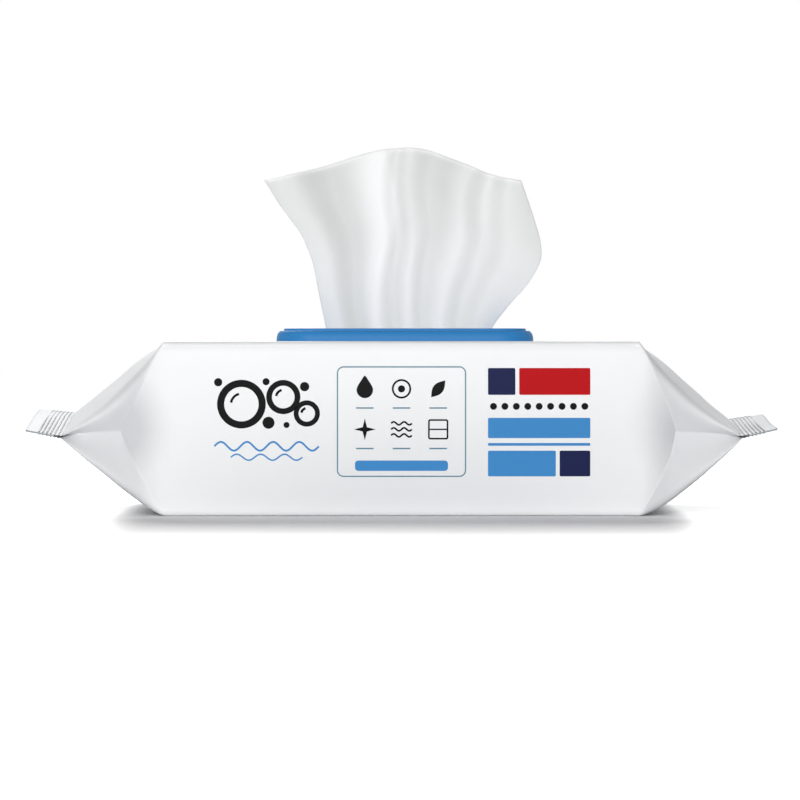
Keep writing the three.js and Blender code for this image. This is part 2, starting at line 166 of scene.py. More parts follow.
WEB_THIN_REACH = 1.1
HINGE_REACH = 1.8
HINGE_Y = LID_DEPTH / 2 - RIM_DRAFT + HINGE_REACH
HINGE_Z = RIM_HEIGHT + COVER_CLEARANCE / 2

# Drawn wipe
WIPE_RISE = 69.1
WIPE_SPAN = 105.6
WIPE_SHIFT = -0.8
WIPE_COLUMNS = 200
WIPE_ROWS = 84
PLEAT_DEPTH_LOW = 1.5
PLEAT_DEPTH_HIGH = 3.4
FOLD_SPACING = 0.25
HEM_SHARE = 0.03
WIPE_LEAN = 7
WIPE_FOOT = STACK_TOP + 0.3
LIP_TOP = BODY_HEIGHT + RIM_HEIGHT + LIP_HEIGHT

# The camera stands level with the pack's top edge, far in front of it
CAMERA_PLACE = (-0.55, -1355, 64)
CAMERA_AIM = (-0.55, -55, 42.5)
CAMERA_LENS = 160
CAMERA_SENSOR = 36

# Lamps, in metres: where each stands, what it points at and how broad it is
KEY_LAMP = ((-0.14, -1.65, 0.42), (0, 0, 0.05), 0.7)
BACK_LAMP = ((-0.1, 0.75, 0.72), (0, 0, 0.03), 0.6)

# Floor, in metres: how far past the pack's foot a painted glow fades its shadow out, sideways and to the
# front, and behind
SHADOW_REACH = (19 * MM, 150 * MM)
BACK_REACH = 45 * MM
FLOOR_RADIUS = 6
FLOOR_DROP = 0.05 * MM


# Small helpers

def lerp(a, b, t):
    return a + (b - a) * t


def share_of(value, whole):
    """How far value has come along whole, from 0 to 1."""
    return min(max(value / whole, 0), 1)


def smooth(t):
    """Eases t from 0 to 1 in and out."""
    return t * t * (3 - 2 * t)

def linear(hex_code):
    """An sRGB colour such as 4187C4 as the linear values that Blender works in."""
    parts = [int(hex_code[i:i + 2], 16) / 255 for i in (0, 2, 4)]
    return tuple(c / 12.92 if c <= 0.04045 else ((c + 0.055) / 1.055) ** 2.4 for c in parts)


def bezier_corner(before, corner, after, radius, steps):
    """The corner rounded from the side towards before to the side towards after."""
    corner = Vector(corner)
    ends = []
    for other in (before, after):
        away = Vector(other) - corner
        ends.append(corner + away.normalized() * min(radius, 0.9 * away.length))
    start, finish = ends
    points = []
    for i in range(steps + 1):
        t = i / steps
        points.append(start * (1 - t) ** 2 + corner * (2 * t * (1 - t)) + finish * t * t)
    return points


def spread(start, finish, count):
    """Points between start and finish, without either of them."""
    return [Vector(start).lerp(Vector(finish), i / (count + 1)) for i in range(1, count + 1)]


def catmull(points, t):
    """A point on the smooth curve through the points, which are evenly spaced in t."""
    at = t * (len(points) - 1)
    i = min(int(at), len(points) - 2)
    w = at - i
    p0, p1 = points[max(i - 1, 0)], points[i]
    p2, p3 = points[i + 1], points[min(i + 2, len(points) - 1)]
    result = []
    for a, b, c, d in zip(p0, p1, p2, p3):
        v0, v1 = (c - a) / 2, (d - b) / 2
        result.append((2 * b - 2 * c + v0 + v1) * w ** 3 + (3 * c - 3 * b - 2 * v0 - v1) * w * w + v0 * w + b)
    return result


# Meshes

def new_piece(name, mesh, material=None):
    """Puts a mesh into the scene as an object of that name."""
    piece = bpy.data.objects.new(name, mesh)
    bpy.context.scene.collection.objects.link(piece)
    if material:
        mesh.materials.append(material)
    return piece


def loft_into(shape, rings, closed=False):
    """Joins rings of points, in millimetres, with quads. An open loft gets a flat cap at each end."""
    rows = [[shape.verts.new(Vector(p) * MM) for p in ring] for ring in rings]
    count = len(rows[0])
    pairs = list(zip(rows, rows[1:]))
    if closed:
        pairs.append((rows[-1], rows[0]))
    for here, there in pairs:
        for i in range(count):
            j = (i + 1) % count
            shape.faces.new((here[i], here[j], there[j], there[i]))
    if not closed:
        shape.faces.new(rows[0][::-1])
        shape.faces.new(rows[-1])


def mesh_from(shape, name, sharp_degrees=45, tidy=True):
    """Ends a bmesh and gives its mesh, smooth but for edges sharper than this angle."""
    if tidy:
        bmesh.ops.remove_doubles(shape, verts=shape.verts, dist=1e-6)
        bmesh.ops.recalc_face_normals(shape, faces=shape.faces)
    mesh = bpy.data.meshes.new(name)
    shape.to_mesh(mesh)
    shape.free()
    mesh.shade_smooth()
    mesh.set_sharp_from_angle(angle=math.radians(sharp_degrees))
    return mesh


def bake_modifiers(piece):
    """Turns a piece with its modifiers into a plain mesh."""
    bpy.context.view_layer.update()
    graph = bpy.context.evaluated_depsgraph_get()
    mesh = bpy.data.meshes.new_from_object(piece.evaluated_get(graph), depsgraph=graph)
    old = piece.data
    piece.modifiers.clear()
    piece.data = mesh
    bpy.data.meshes.remove(old)
    mesh.name = piece.name


def thicken(piece, thickness, offset):
    """Gives a thin piece its thickness, in metres: inwards at offset -1, to both sides at 0."""
    solid = piece.modifiers.new("thickness", "SOLIDIFY")
    solid.thickness = thickness
    solid.offset = offset
    bake_modifiers(piece)

def rounded_loop(half_x, half_y, radius, z, steps=14, shift=(LID_SHIFT, 0)):
    """A rounded rectangle of points, counter-clockwise seen from above."""
    loop = []
    centres = [(1, 1), (-1, 1), (-1, -1), (1, -1)]
    for quarter, (sx, sy) in enumerate(centres):
        for i in range(steps + 1):
            angle = (quarter + i / steps) * math.pi / 2
            x = sx * (half_x - radius) + radius * math.cos(angle) + shift[0]
            y = sy * (half_y - radius) + radius * math.sin(angle) + shift[1]
            loop.append((x, y, z))
    return loop


# Nodes and materials

def add_node(tree, kind, inputs=None, **settings):
    """Adds a node with its settings. Each input takes a value, a socket, or the first output of a node."""
    node = tree.nodes.new(kind)
    for name, value in settings.items():
        setattr(node, name, value)
    for name, value in (inputs or {}).items():
        if isinstance(value, bpy.types.Node):
            value = value.outputs[0]
        if isinstance(value, bpy.types.NodeSocket):
            tree.links.new(value, node.inputs[name])
        else:
            node.inputs[name].default_value = value
    return node


def new_tree(name, inputs):
    """A Geometry Nodes tree that takes a shape and these inputs, and the sockets that give them."""
    tree = bpy.data.node_groups.new(name, "GeometryNodeTree")
    for label, kind in {"Geometry": "Geometry", **inputs}.items():
        tree.interface.new_socket(label, in_out="INPUT", socket_type=f"NodeSocket{kind}")
    tree.interface.new_socket("Geometry", in_out="OUTPUT", socket_type="NodeSocketGeometry")
    return tree, add_node(tree, "NodeGroupInput").outputs


def finish_tree(tree, result, material):
    """Makes the result real geometry with its material, and gives it out."""
    real = add_node(tree, "GeometryNodeRealizeInstances", {"Geometry": result})
    painted = add_node(tree, "GeometryNodeSetMaterial", {"Geometry": real, "Material": material})
    add_node(tree, "NodeGroupOutput", {"Geometry": painted})
    return tree


def run_tree(piece, tree, values):
    """Gives a piece a node tree with these values by name, and turns the result into a plain mesh."""
    modifier = piece.modifiers.new(tree.name, "NODES")
    modifier.node_group = tree
    for item in tree.interface.items_tree:
        if item.in_out == "INPUT" and item.name in values:
            modifier[item.identifier] = values[item.name]
    bake_modifiers(piece)


def new_material(name, uv_map=None):
    """An empty material, its node tree, and the coordinates in metres that its pattern follows."""
    material = bpy.data.materials.new(name)
    material.use_nodes = True
    tree = material.node_tree
    tree.nodes.clear()
    if uv_map:
        return material, tree, add_node(tree, "ShaderNodeUVMap", uv_map=uv_map).outputs["UV"]
    return material, tree, add_node(tree, "ShaderNodeTexCoord").outputs["Object"]


def finish_material(tree, shader):
    """Makes this shader the surface of its material."""
    add_node(tree, "ShaderNodeOutputMaterial", {"Surface": shader})


def clouded(tree, place, size, detail, first, second):
    """A colour that drifts from the first to the second, in clouds of this size in millimetres."""
    scale = 1 / (size * MM)
    cloud = add_node(tree, "ShaderNodeTexNoise", {"Vector": place, "Scale": scale, "Detail": detail})
    mix = add_node(tree, "ShaderNodeMix", {"Factor": cloud, "A": first, "B": second}, data_type="RGBA")
    return mix.outputs["Result"]


def toned(tree, tone, attribute, colour):
    """A tone that turns into the colour where the mesh carries more of this attribute."""
    share = add_node(tree, "ShaderNodeAttribute", attribute_name=attribute).outputs["Fac"]
    mix = add_node(tree, "ShaderNodeMix", {"Factor": share, "A": tone, "B": (*colour, 1)}, data_type="RGBA")
    return mix.outputs["Result"]


def grained(tree, place, size, detail, strength, depth, roughness=0.5):
    """The bump of a fine grain, with its size and depth in millimetres."""
    grain = add_node(
        tree, "ShaderNodeTexNoise",
        {"Vector": place, "Scale": 1 / (size * MM), "Detail": detail, "Roughness": roughness},
    )
    return add_node(tree, "ShaderNodeBump", {"Height": grain, "Strength": strength, "Distance": depth * MM})


def laminate_film():
    """White laminated film, varnished: a satin gloss, with shade painted on its ends and panel, and grey cut
    edges.
    """
    material, tree, place = new_material("laminate_film")
    film = bpy.context.scene.pack_film
    tone = clouded(tree, place, 40, 3, (*film.shade, 1), (*film.colour, 1))
    tone = toned(tree, tone, "painted_shade", film.hollow_colour)
    tone = toned(tree, tone, "edge_grey_and_fin_shade", film.edge_colour)
    finish_material(tree, add_node(tree, "ShaderNodeBsdfPrincipled", {
        "Base Color": tone, "Normal": grained(tree, place, 1.2, 2, 0.06, 0.05),
        "Roughness": 0.5, "IOR": 1.5, "Specular IOR Level": 0.35,
    }))
    return material


def heat_sealed_film():
    """Laminated film welded under a crimping jaw: glossier, and dark grey as painted shade for the shadows in
    the crimps.
    """
    material, tree, place = new_material("heat_sealed_film")
    film = bpy.context.scene.pack_film
    finish_material(tree, add_node(tree, "ShaderNodeBsdfPrincipled", {
        "Base Color": clouded(tree, place, 2, 2, (*film.weld_colour, 1), (*film.edge_colour, 1)),
        "Roughness": 0.3, "IOR": 1.5, "Specular IOR Level": 0.3,
    }))
    return material


def spunlace_nonwoven():
    """Moist spunlace nonwoven: matt, slightly see-through, with fine fibres laid mostly one way and painted
    fold shade.
    """
    material, tree, place = new_material("spunlace_nonwoven", "cloth")
    wipe = bpy.context.scene.drawn_wipe
    drawn = add_node(tree, "ShaderNodeMapping", {"Vector": place, "Scale": (1, 0.25, 1)})
    cloud = add_node(tree, "ShaderNodeTexNoise", {"Vector": place, "Scale": 1 / (12 * MM), "Detail": 2})
    wet = add_node(
        tree, "ShaderNodeMath", {0: cloud, 1: 0.12, 2: -0.06}, operation="MULTIPLY_ADD", use_clamp=True,
    )
    # Painted shade in the hollows of the folds, with random damp clouds on top
    painted_shade = add_node(tree, "ShaderNodeAttribute", attribute_name="painted_shade").outputs["Fac"]
    damp_and_shade = add_node(tree, "ShaderNodeMath", {0: painted_shade, 1: wet}, operation="ADD", use_clamp=True)
    colours = {"A": (*wipe.colour, 1), "B": (*wipe.damp_colour, 1)}
    tone = add_node(tree, "ShaderNodeMix", {"Factor": damp_and_shade, **colours}, data_type="RGBA").outputs["Result"]
    finish_material(tree, add_node(tree, "ShaderNodeBsdfPrincipled", {
        "Base Color": tone, "Normal": grained(tree, drawn, 0.5, 4, 0.25, 0.06, 0.6),
        "Roughness": 0.7, "IOR": 1.4, "Subsurface Weight": 0.25, "Subsurface Scale": 2 * MM,
        "Subsurface Radius": (1, 1, 0.97), "Sheen Weight": 0.1, "Sheen Roughness": 0.4,
    }))
    return material


def moulded_polypropylene():
    """Injection-moulded polypropylene: a soft waxy gloss with the faint grain of the mould."""
    material, tree, place = new_material("moulded_polypropylene")
    lid = bpy.context.scene.flip_lid
    finish_material(tree, add_node(tree, "ShaderNodeBsdfPrincipled", {
        "Base Color": clouded(tree, place, 25, 2, (*lid.shade, 1), (*lid.colour, 1)),
        "Normal": grained(tree, place, 0.4, 3, 0.12, 0.03),
        "Roughness": 0.48, "IOR": 1.49, "Specular IOR Level": 0.2,
    }))
    return material


def gravure_ink(name, colour):
    """Gravure ink under the film's varnish: even colour with a slight mottle, and the film's own gloss."""
    material, tree, place = new_material(f"gravure_ink_{name}")
    light = add_node(tree, "ShaderNodeHueSaturation", {"Value": 1.12, "Color": (*colour, 1)})
    finish_material(tree, add_node(tree, "ShaderNodeBsdfPrincipled", {
        "Base Color": clouded(tree, place, 0.8, 3, (*colour, 1), light),
        "Roughness": 0.5, "IOR": 1.5, "Specular IOR Level": 0.08,
    }))
    return material


def material_named(maker):
    """The material that this function makes, made the first time that it is asked for."""
    return bpy.data.materials.get(maker.__name__) or maker()


# Film pack

def arch_share(y):
    """How high the arch of an end seal stands at y, from 0 at the edges to 1 at the crest."""
    def climb(d):
        return math.hypot(d, CREST_ROUND) - CREST_ROUND
    return 1 - climb(y) / climb(BODY_DEPTH / 2)


def end_at(x):
    """The settings of the pack's end on this side."""
    return LEFT_END if x < 0 else RIGHT_END


def seal_lift(end, out, y):
    """How much higher the seal stands at this distance out from its root than at the root."""
    share = share_of(out, SEAL_LENGTH)
    wave = SEAL_WAVE * math.sin(y / SEAL_WAVE_LENGTH + end.side) * share
    return share * lerp(SEAL_EDGE_LIFT, SEAL_CREST_LIFT, arch_share(y)) + wave


# Where the points of the side wall lie between its two creases, close together at both
SIDE_STEPS = (0.03, 0.08, 0.16, 0.26, 0.37, 0.5, 0.63, 0.74, 0.84, 0.92, 0.97)


def half_outline(x):
    """Half of the section at x, as (y, z): from the middle of the top round the side to that of the base."""
    end = end_at(x)
    past = max(0, abs(x) - BODY_LENGTH / 2)
    out = max(0, past - END_REACH)
    share = share_of(past, END_REACH)
    base_share = share ** end.base_sweep
    mouth = share_of(past, end.tuck_reach)
    bow = 4 * share * (1 - share)
    top = lerp(BODY_HEIGHT, SEAL_HEIGHT + SEAL_THICKNESS / 2, share) - SHOULDER_SAG * bow
    base = lerp(0, SEAL_HEIGHT - SEAL_THICKNESS / 2, base_share)
    middle = lerp(BODY_HEIGHT / 2, SEAL_HEIGHT, share)
    top_round = lerp(TOP_EDGE_ROUND, END_EDGE_ROUND, share) + END_SWELL * bow
    base_round = lerp(BOTTOM_EDGE_ROUND, END_EDGE_ROUND, share) + END_SWELL * bow / 2

    # The side wall narrows to the floor of the tuck
    floor = min(TUCK_FLOOR, 0.3 * (top - middle), 0.3 * (middle - base))
    upper = lerp(middle, BODY_HEIGHT, (1 - mouth) ** (1 / end.crease_above))
    upper = min(upper, top - CREASE_MARGIN * (1 - mouth) * TOP_EDGE_ROUND)
    lower = lerp(middle, 0, (1 - mouth) ** (1 / end.crease_below))
    lower = max(lower, base + CREASE_MARGIN * (1 - mouth) * BOTTOM_EDGE_ROUND)
    if mouth < 1:
        inward = TUCK_MOUTH_DEPTH * mouth ** TUCK_CURVE
    else:
        along = share_of(past - end.tuck_reach, END_REACH - end.tuck_reach)
        inward = lerp(TUCK_MOUTH_DEPTH, TUCK_DEPTH, along)
    wall = BODY_DEPTH / 2 - inward * (1 - smooth(share_of(out, TUCK_FADE)))
    fade = share_of(abs(x), BODY_LENGTH / 2 + end.tuck_reach)
    bulge = lerp(PANEL_BULGE, TUCK_BOW, fade * fade) * (1 - share_of(out, TUCK_FADE))
    crown_swell = (CROWN_SWELL * (1 - share) + 4 * SHOULDER_SAG) * share
    crown_top = end.crown * share + crown_swell * (1 - share)
    arch = end.crown * (share + base_share) * arch_share(wall) / 2

    def top_at(y):
        return Vector((y, top + crown_top * arch_share(y)))

    def base_at(y):
        return Vector((y, base + end.crown * base_share * arch_share(y)))

    inner = FLAT_SHARE * BODY_DEPTH / 2
    crease_top = Vector((wall, max(upper, middle + floor) + arch))
    crease_base = Vector((wall, min(lower, middle - floor) + arch))
    top_corner = bezier_corner(top_at(inner), top_at(BODY_DEPTH / 2), crease_top, top_round, 10)
    base_corner = bezier_corner(crease_base, base_at(BODY_DEPTH / 2), base_at(inner), base_round, 8)

    half = [top_at(inner * i / 12) for i in range(13)]
    half += spread(half[-1], top_corner[0], 6) + top_corner
    half += spread(top_corner[-1], crease_top, 3) + [crease_top]
    for t in SIDE_STEPS:
        p = crease_top.lerp(crease_base, t)
        p.x += bulge * 4 * t * (1 - t)
        half.append(p)
    half += [crease_base] + spread(crease_base, base_corner[0], 3) + base_corner
    half += spread(base_corner[-1], base_at(inner), 4)
    edge = SEAM_WIDTH / 2
    seam = (inner, 24, 15, edge + 2, edge + SEAM_GROOVE_WIDTH, edge, edge - SEAM_GROOVE_WIDTH, 3, 0)
    half += [base_at(y) for y in seam]
    half = [Vector((p.x, p.y + seal_lift(end, out, p.x))) for p in half]
    return half


# Points of half a section: where the rounded top edge begins, the front panel, and the edge of a seal
TOP_CORNER_START = 19
PANEL = range(33, 46)
FIN_EDGE = range(31, 48)

# Painted shade, in shares of the shade colour: low on the panel, along its top edge, on the end facets from
# root to seal; and the share of the edge grey painted over the welded fin as shade
LOW_PANEL_SHADE = 0.75
TOP_EDGE_SHADE = 0.7
FACET_SHADES = (1.1, 0.7)
FIN_SHADE = 0.4


def film_tones(x, i, z):
    """The shade painted at point i of the section at x, and its share of edge grey: both 0 to 1."""
    end = end_at(x)
    past = abs(x) - BODY_LENGTH / 2
    out = past - END_REACH
    if out > 0:
        # On a seal: full painted shade, full edge grey at its cut edges, and a share of edge grey painted
        # over the rest as shade
        return 1, float(i in FIN_EDGE or out > SEAL_LENGTH - 0.1) or FIN_SHADE
    vertex = Vector((BODY_LENGTH / 2 + end.tuck_reach, SEAL_HEIGHT + 3))
    to_vertex = smooth(share_of((Vector((abs(x), z)) - vertex).length, VERTEX_SHADE))
    # Painted shade on the panel: round the crease vertex, darker towards the bottom, and a line along the top
    # edge
    if past <= 0 or (i in PANEL and past < end.tuck_reach):
        low = lerp(LOW_PANEL_SHADE, 0, share_of(z, BODY_HEIGHT)) * lerp(0.5, 1, share_of(z, 8))
        low *= lerp(1, 0.3, share_of(abs(x), BODY_LENGTH / 2) ** 2)
        edge = TOP_EDGE_SHADE * share_of(z - (BODY_HEIGHT - 2 * TOP_EDGE_ROUND), 2 * TOP_EDGE_ROUND)
        return max(lerp(end.vertex_tone, 0, to_vertex), low, edge if i > TOP_CORNER_START else 0), 0
    # Painted shade on the folded ends: it grows past the crease, is stronger near the body than at the seal,
    # and lighter on top
    slope = lerp(*FACET_SHADES, smooth(share_of(past, END_REACH)))
    crown = lerp(end.crown_tone, 1, share_of(i - 17, 10))
    return smooth(share_of(past, end.fade)) * slope * crown, 0


def film_ring(x):
    """The whole section at x: the front half down, then the back half up."""
    half = half_outline(x)
    front = [(x, -p.x, p.y) for p in half]
    back = [(x, p.x, p.y) for p in half[1:-1]]
    return front + back[::-1]


# Sections along the straight part, along each half of a folded end and along a seal
BODY_STEPS = 58
FOLD_STEPS = 22
SEAL_STEPS = 14


def film_stations():
    """Places along the pack, close together where its ends fold."""
    body = [lerp(-BODY_LENGTH / 2, BODY_LENGTH / 2, i / BODY_STEPS) for i in range(1, BODY_STEPS)]
    ends = {}
    for end in (LEFT_END, RIGHT_END):
        fold = [end.tuck_reach * i / FOLD_STEPS for i in range(FOLD_STEPS + 1)]
        tail = [lerp(end.tuck_reach, END_REACH, i / FOLD_STEPS) for i in range(1, FOLD_STEPS + 1)]
        fin = [END_REACH + SEAL_LENGTH * i / SEAL_STEPS for i in range(1, SEAL_STEPS + 1)]
        ends[end.side] = [end.side * (BODY_LENGTH / 2 + d) for d in fold + tail + fin]
    return ends[-1][::-1] + body + ends[1]


# How much the slack shows on the panels, on the folded ends and where they gather at the root of a seal
PANEL_SLACK = 0.5
FOLD_SLACK = 0.9
ROOT_SLACK = 1.3


def film_slack(point, depth):
    """How far the slack film stands out from its ideal shape at a point, in millimetres."""
    x, y, z = point
    past = abs(x) - BODY_LENGTH / 2
    if past > END_REACH - 0.5 or z < 0.3:
        return 0
    panel = noise.noise(Vector((x / 48, y / 40, z / 30)))
    folded = smooth(share_of(past + 14, 30))
    crumple = noise.noise(Vector((x / 13 + 7, y / 16, z / 11)))
    root = smooth(share_of(past - END_REACH + 20, 20))
    gathers = noise.noise(Vector((x / 40, y / 3.4 + 3, z / 60 + end_at(x).side)))
    amount = depth * (PANEL_SLACK * panel + FOLD_SLACK * folded * crumple + ROOT_SLACK * root * gathers)
    under_lid = share_of(z - (BODY_HEIGHT - 1.5), 1.5)
    return amount * (1 - under_lid) * smooth(share_of(z, 8))


def inside_stadium(x, y, length, width):
    """Whether a place lies in a slot with round ends, and the x on its middle line that is nearest."""
    straight = (length - width) / 2
    nearest = min(max(x, -straight), straight)
    return math.hypot(x - nearest, y) < width / 2, nearest


def cut_film_opening(shape):
    """Takes out the film inside the lid's opening, and draws the cut edge to an even outline."""
    length = OPENING_LENGTH + 2 * FILM_CUT_MARGIN
    width = OPENING_WIDTH + 2 * FILM_CUT_MARGIN
    doomed = []
    for face in shape.faces:
        x, y, z = face.calc_center_median() / MM
        if z > BODY_HEIGHT - 2 and inside_stadium(x - LID_SHIFT, y, length, width)[0]:
            doomed.append(face)
    bmesh.ops.delete(shape, geom=doomed, context="FACES")
    for vert in shape.verts:
        if not vert.is_boundary:
            continue
        x, y, z = vert.co / MM
        nearest = inside_stadium(x - LID_SHIFT, y, length, width)[1]
        away = Vector((x - LID_SHIFT - nearest, y)).normalized() * width / 2
        vert.co = Vector((LID_SHIFT + nearest + away.x, away.y, z)) * MM


class PackFilm(bpy.types.PropertyGroup):
    thickness: FloatProperty(
        name="Film thickness", description="Thickness of the laminated film", default=0.12 * MM,
        min=0.03 * MM, max=0.5 * MM, precision=5, unit="LENGTH",
    )
    slack: FloatProperty(
        name="Slack", description="How far the slack film ripples", default=0.45 * MM,
        min=0, max=2 * MM, precision=5, unit="LENGTH",
    )
    crimp_pitch: FloatProperty(
        name="Crimp pitch", description="Distance from one crimp of a seal to the next", default=1.4 * MM,
        min=0.6 * MM, max=3 * MM, precision=5, unit="LENGTH",
    )
    crimp_height: FloatProperty(
        name="Crimp height", description="How far a crimp stands out of the seal", default=0.26 * MM,
        min=0.05 * MM, max=0.5 * MM, precision=5, unit="LENGTH",
    )
    crimp_count: IntProperty(
        name="Crimps", description="Number of crimps in each end seal", default=6, min=1, max=9,
    )
    colour: FloatVectorProperty(
        name="Film colour", description="Colour of the white film", default=linear("F6F7F8"),
        min=0, max=1, subtype="COLOR",
    )
    shade: FloatVectorProperty(
        name="Film shade", description="Colour where the film is clouded", default=linear("F2F3F4"),
        min=0, max=1, subtype="COLOR",
    )
    # The colour that the painted shade turns the film to
    hollow_colour: FloatVectorProperty(
        name="Hollow colour", description="Colour where no wipes back the film", default=linear("D8D9DB"),
        min=0, max=1, subtype="COLOR",
    )
    # Grey of the cut edges; a share of it is also painted over the fins and crimps as shade
    edge_colour: FloatVectorProperty(
        name="Edge colour", description="Colour of the cut edges of the seals", default=linear("8E9295"),
        min=0, max=1, subtype="COLOR",
    )
    # Painted shade: the dark grey of the crimps stands in for the shadows between them
    weld_colour: FloatVectorProperty(
        name="Weld colour", description="Colour of the pressed crimps", default=linear("54585B"),
        min=0, max=1, subtype="COLOR",
    )


class WIPES_OT_film_pack(bpy.types.Operator):
    """Makes the film envelope with its folded ends, end seals and base seam"""
    bl_idname = "wipes.film_pack"
    bl_label = "Film pack"

    def execute(self, context):
        film = context.scene.pack_film
        shape = bmesh.new()
        loft_into(shape, [film_ring(x) for x in film_stations()])
        bmesh.ops.recalc_face_normals(shape, faces=shape.faces)
        shape.normal_update()
        around = len(film_ring(0))
        # The shade painted on each point, and its share of edge grey
        painted_tones = []
        for vert in shape.verts:
            i = vert.index % around
            painted_tones.append(film_tones(vert.co.x / MM, min(i, around - i), vert.co.z / MM))
        depth = film.slack / MM
        moves = [(v, v.normal * film_slack(v.co / MM, depth) * MM) for v in shape.verts]
        for vert, move in moves:
            vert.co += move
        for vert in shape.verts:
            x, y, z = vert.co / MM
            if z < 0.1 and abs(x) < BODY_LENGTH / 2 and abs(abs(y) - SEAM_WIDTH / 2) < 0.2:
                vert.co.z += SEAM_GROOVE_DEPTH * MM
        for layer, index in (("painted_shade", 0), ("edge_grey_and_fin_shade", 1)):
            painted = shape.verts.layers.float.new(layer)
            for vert, tone in zip(shape.verts, painted_tones):
                vert[painted] = tone[index]
        cut_film_opening(shape)
        piece = new_piece(
            "film_envelope", mesh_from(shape, "film_envelope", 50, tidy=False), material_named(laminate_film)
        )
        thicken(piece, film.thickness, -1)
        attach(piece, "pack")
        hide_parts("film_pack")
        return {"FINISHED"}


# End seal crimps

def crimp_tree(material):
    """Repeats each line outwards along the slope of the seal, and sweeps a round bar along it."""
    tree, given = new_tree("seal_crimps", {"Crimps": "Int", "Pitch": "Float", "Bar radius": "Float"})
    line = add_node(tree, "GeometryNodeMeshToCurve", {"Mesh": given["Geometry"]})
    copies = add_node(
        tree, "GeometryNodeDuplicateElements", {"Geometry": line, "Amount": given["Crimps"]}, domain="SPLINE",
    ).outputs
    slope = add_node(tree, "GeometryNodeInputNamedAttribute", {"Name": "slope"}, data_type="FLOAT")
    along = add_node(tree, "ShaderNodeCombineXYZ", {"X": 1, "Z": slope.outputs["Attribute"]})
    away = add_node(
        tree, "ShaderNodeMath", {0: copies["Duplicate Index"], 1: given["Pitch"]}, operation="MULTIPLY",
    )
    step = add_node(tree, "ShaderNodeVectorMath", {0: along, "Scale": away}, operation="SCALE")
    placed = add_node(tree, "GeometryNodeSetPosition", {"Geometry": copies["Geometry"], "Offset": step})
    section = add_node(
        tree, "GeometryNodeCurvePrimitiveCircle", {"Radius": given["Bar radius"], "Resolution": 8},
    )
    bar = add_node(
        tree, "GeometryNodeCurveToMesh", {"Curve": placed, "Profile Curve": section, "Fill Caps": True},
    )
    return finish_tree(tree, bar, material)


def line_mesh(name, lines):
    """A mesh of plain lines through points in millimetres."""
    points = [Vector(p) * MM for line in lines for p in line]
    edges = []
    start = 0
    for line in lines:
        edges += [(start + i, start + i + 1) for i in range(len(line) - 1)]
        start += len(line)
    mesh = bpy.data.meshes.new(name)
    mesh.from_pydata(points, edges, [])
    return mesh


class WIPES_OT_seal_crimps(bpy.types.Operator):
    """Makes the crimps that run from edge to edge next to the root of each end seal"""
    bl_idname = "wipes.seal_crimps"
    bl_label = "Seal crimps"

    def execute(self, context):
        film = context.scene.pack_film
        tree = crimp_tree(material_named(heat_sealed_film))
        sink = CRIMP_BAR - film.crimp_height / MM
        for end, name in ((LEFT_END, "left_crimps"), (RIGHT_END, "right_crimps")):
            x = end.side * (BODY_LENGTH / 2 + END_REACH + CRIMP_START)
            half = BODY_DEPTH / 2 - CRIMP_INSET
            across = [lerp(-1, 1, i / CRIMP_STEPS) * half for i in range(CRIMP_STEPS + 1)]
            lines = [[], []]
            for face, line in zip((-1, 1), lines):
                for y in across:
                    z = SEAL_HEIGHT + end.crown * arch_share(y) + seal_lift(end, CRIMP_START, y)
                    line.append((x, y, z + face * (SEAL_THICKNESS / 2 - sink)))
            mesh = line_mesh(name, lines)
            slope = mesh.attributes.new("slope", "FLOAT", "POINT")
            for i, y in enumerate(across + across):
                slope.data[i].value = end.side * seal_lift(end, SEAL_LENGTH, y) / SEAL_LENGTH
            piece = new_piece(name, mesh)
            pitch = end.side * film.crimp_pitch
            run_tree(piece, tree, {"Crimps": film.crimp_count, "Pitch": pitch, "Bar radius": CRIMP_BAR * MM})
            piece.data.shade_smooth()
            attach(piece, "pack")
        return {"FINISHED"}


# Print on the front panel: places are (x, z) seen from the front, and the ink is cut small to follow the film
PRINT_CELL = 4


def turn(steps, start=0.0, sweep=2 * math.pi, whole=False):
    """Angles round a circle, with the last one left out unless whole is set."""
    return [start + sweep * i / steps for i in range(steps + (1 if whole else 0))]


def arc(x, z, radius, angles):
    """The points at these angles round a middle."""
    return [(x + radius * math.cos(a), z + radius * math.sin(a)) for a in angles]


def disc(x, z, radius):
    """A filled circle."""
    return [arc(x, z, radius, turn(40))]


def bar(x0, x1, z0, z1, radius):
    """A filled rectangle with rounded corners."""
    left, right, low, high = x0 + radius, x1 - radius, z0 + radius, z1 - radius
    loop = []
    for quarter, (x, z) in enumerate([(right, high), (left, high), (left, low), (right, low)]):
        loop += arc(x, z, radius, turn(6, quarter * math.pi / 2, math.pi / 2, True))
    return [loop]


def stroke(points, width, closed=False):
    """A line of even width through the points, as a row of quads."""
    count = len(points)
    sides = []
    for i, (x, z) in enumerate(points):
        before = points[(i - 1) % count] if closed or i else points[0]
        after = points[(i + 1) % count] if closed or i < count - 1 else points[-1]
        along = Vector((after[0] - before[0], after[1] - before[1])).normalized()
        off = Vector((-along.y, along.x)) * width / 2
        sides.append(((x + off.x, z + off.y), (x - off.x, z - off.y)))
    quads = []
    for i in range(count if closed else count - 1):
        (a, b), (c, d) = sides[i], sides[(i + 1) % count]
        quads.append([a, c, d, b])
    return quads


def ring(x, z, radius, width):
    """A circle drawn with a line of this width."""
    return stroke(arc(x, z, radius, turn(48)), width, closed=True)


def drop(x, z, radius):
    """A drop of water with its point up."""
    loop = []
    for a in turn(40, -math.pi / 2):
        lift = max(0, math.sin(a)) ** 3
        loop.append((x + radius * math.cos(a) * (1 - 0.55 * lift), z + radius * (math.sin(a) + 0.75 * lift)))
    return [loop]


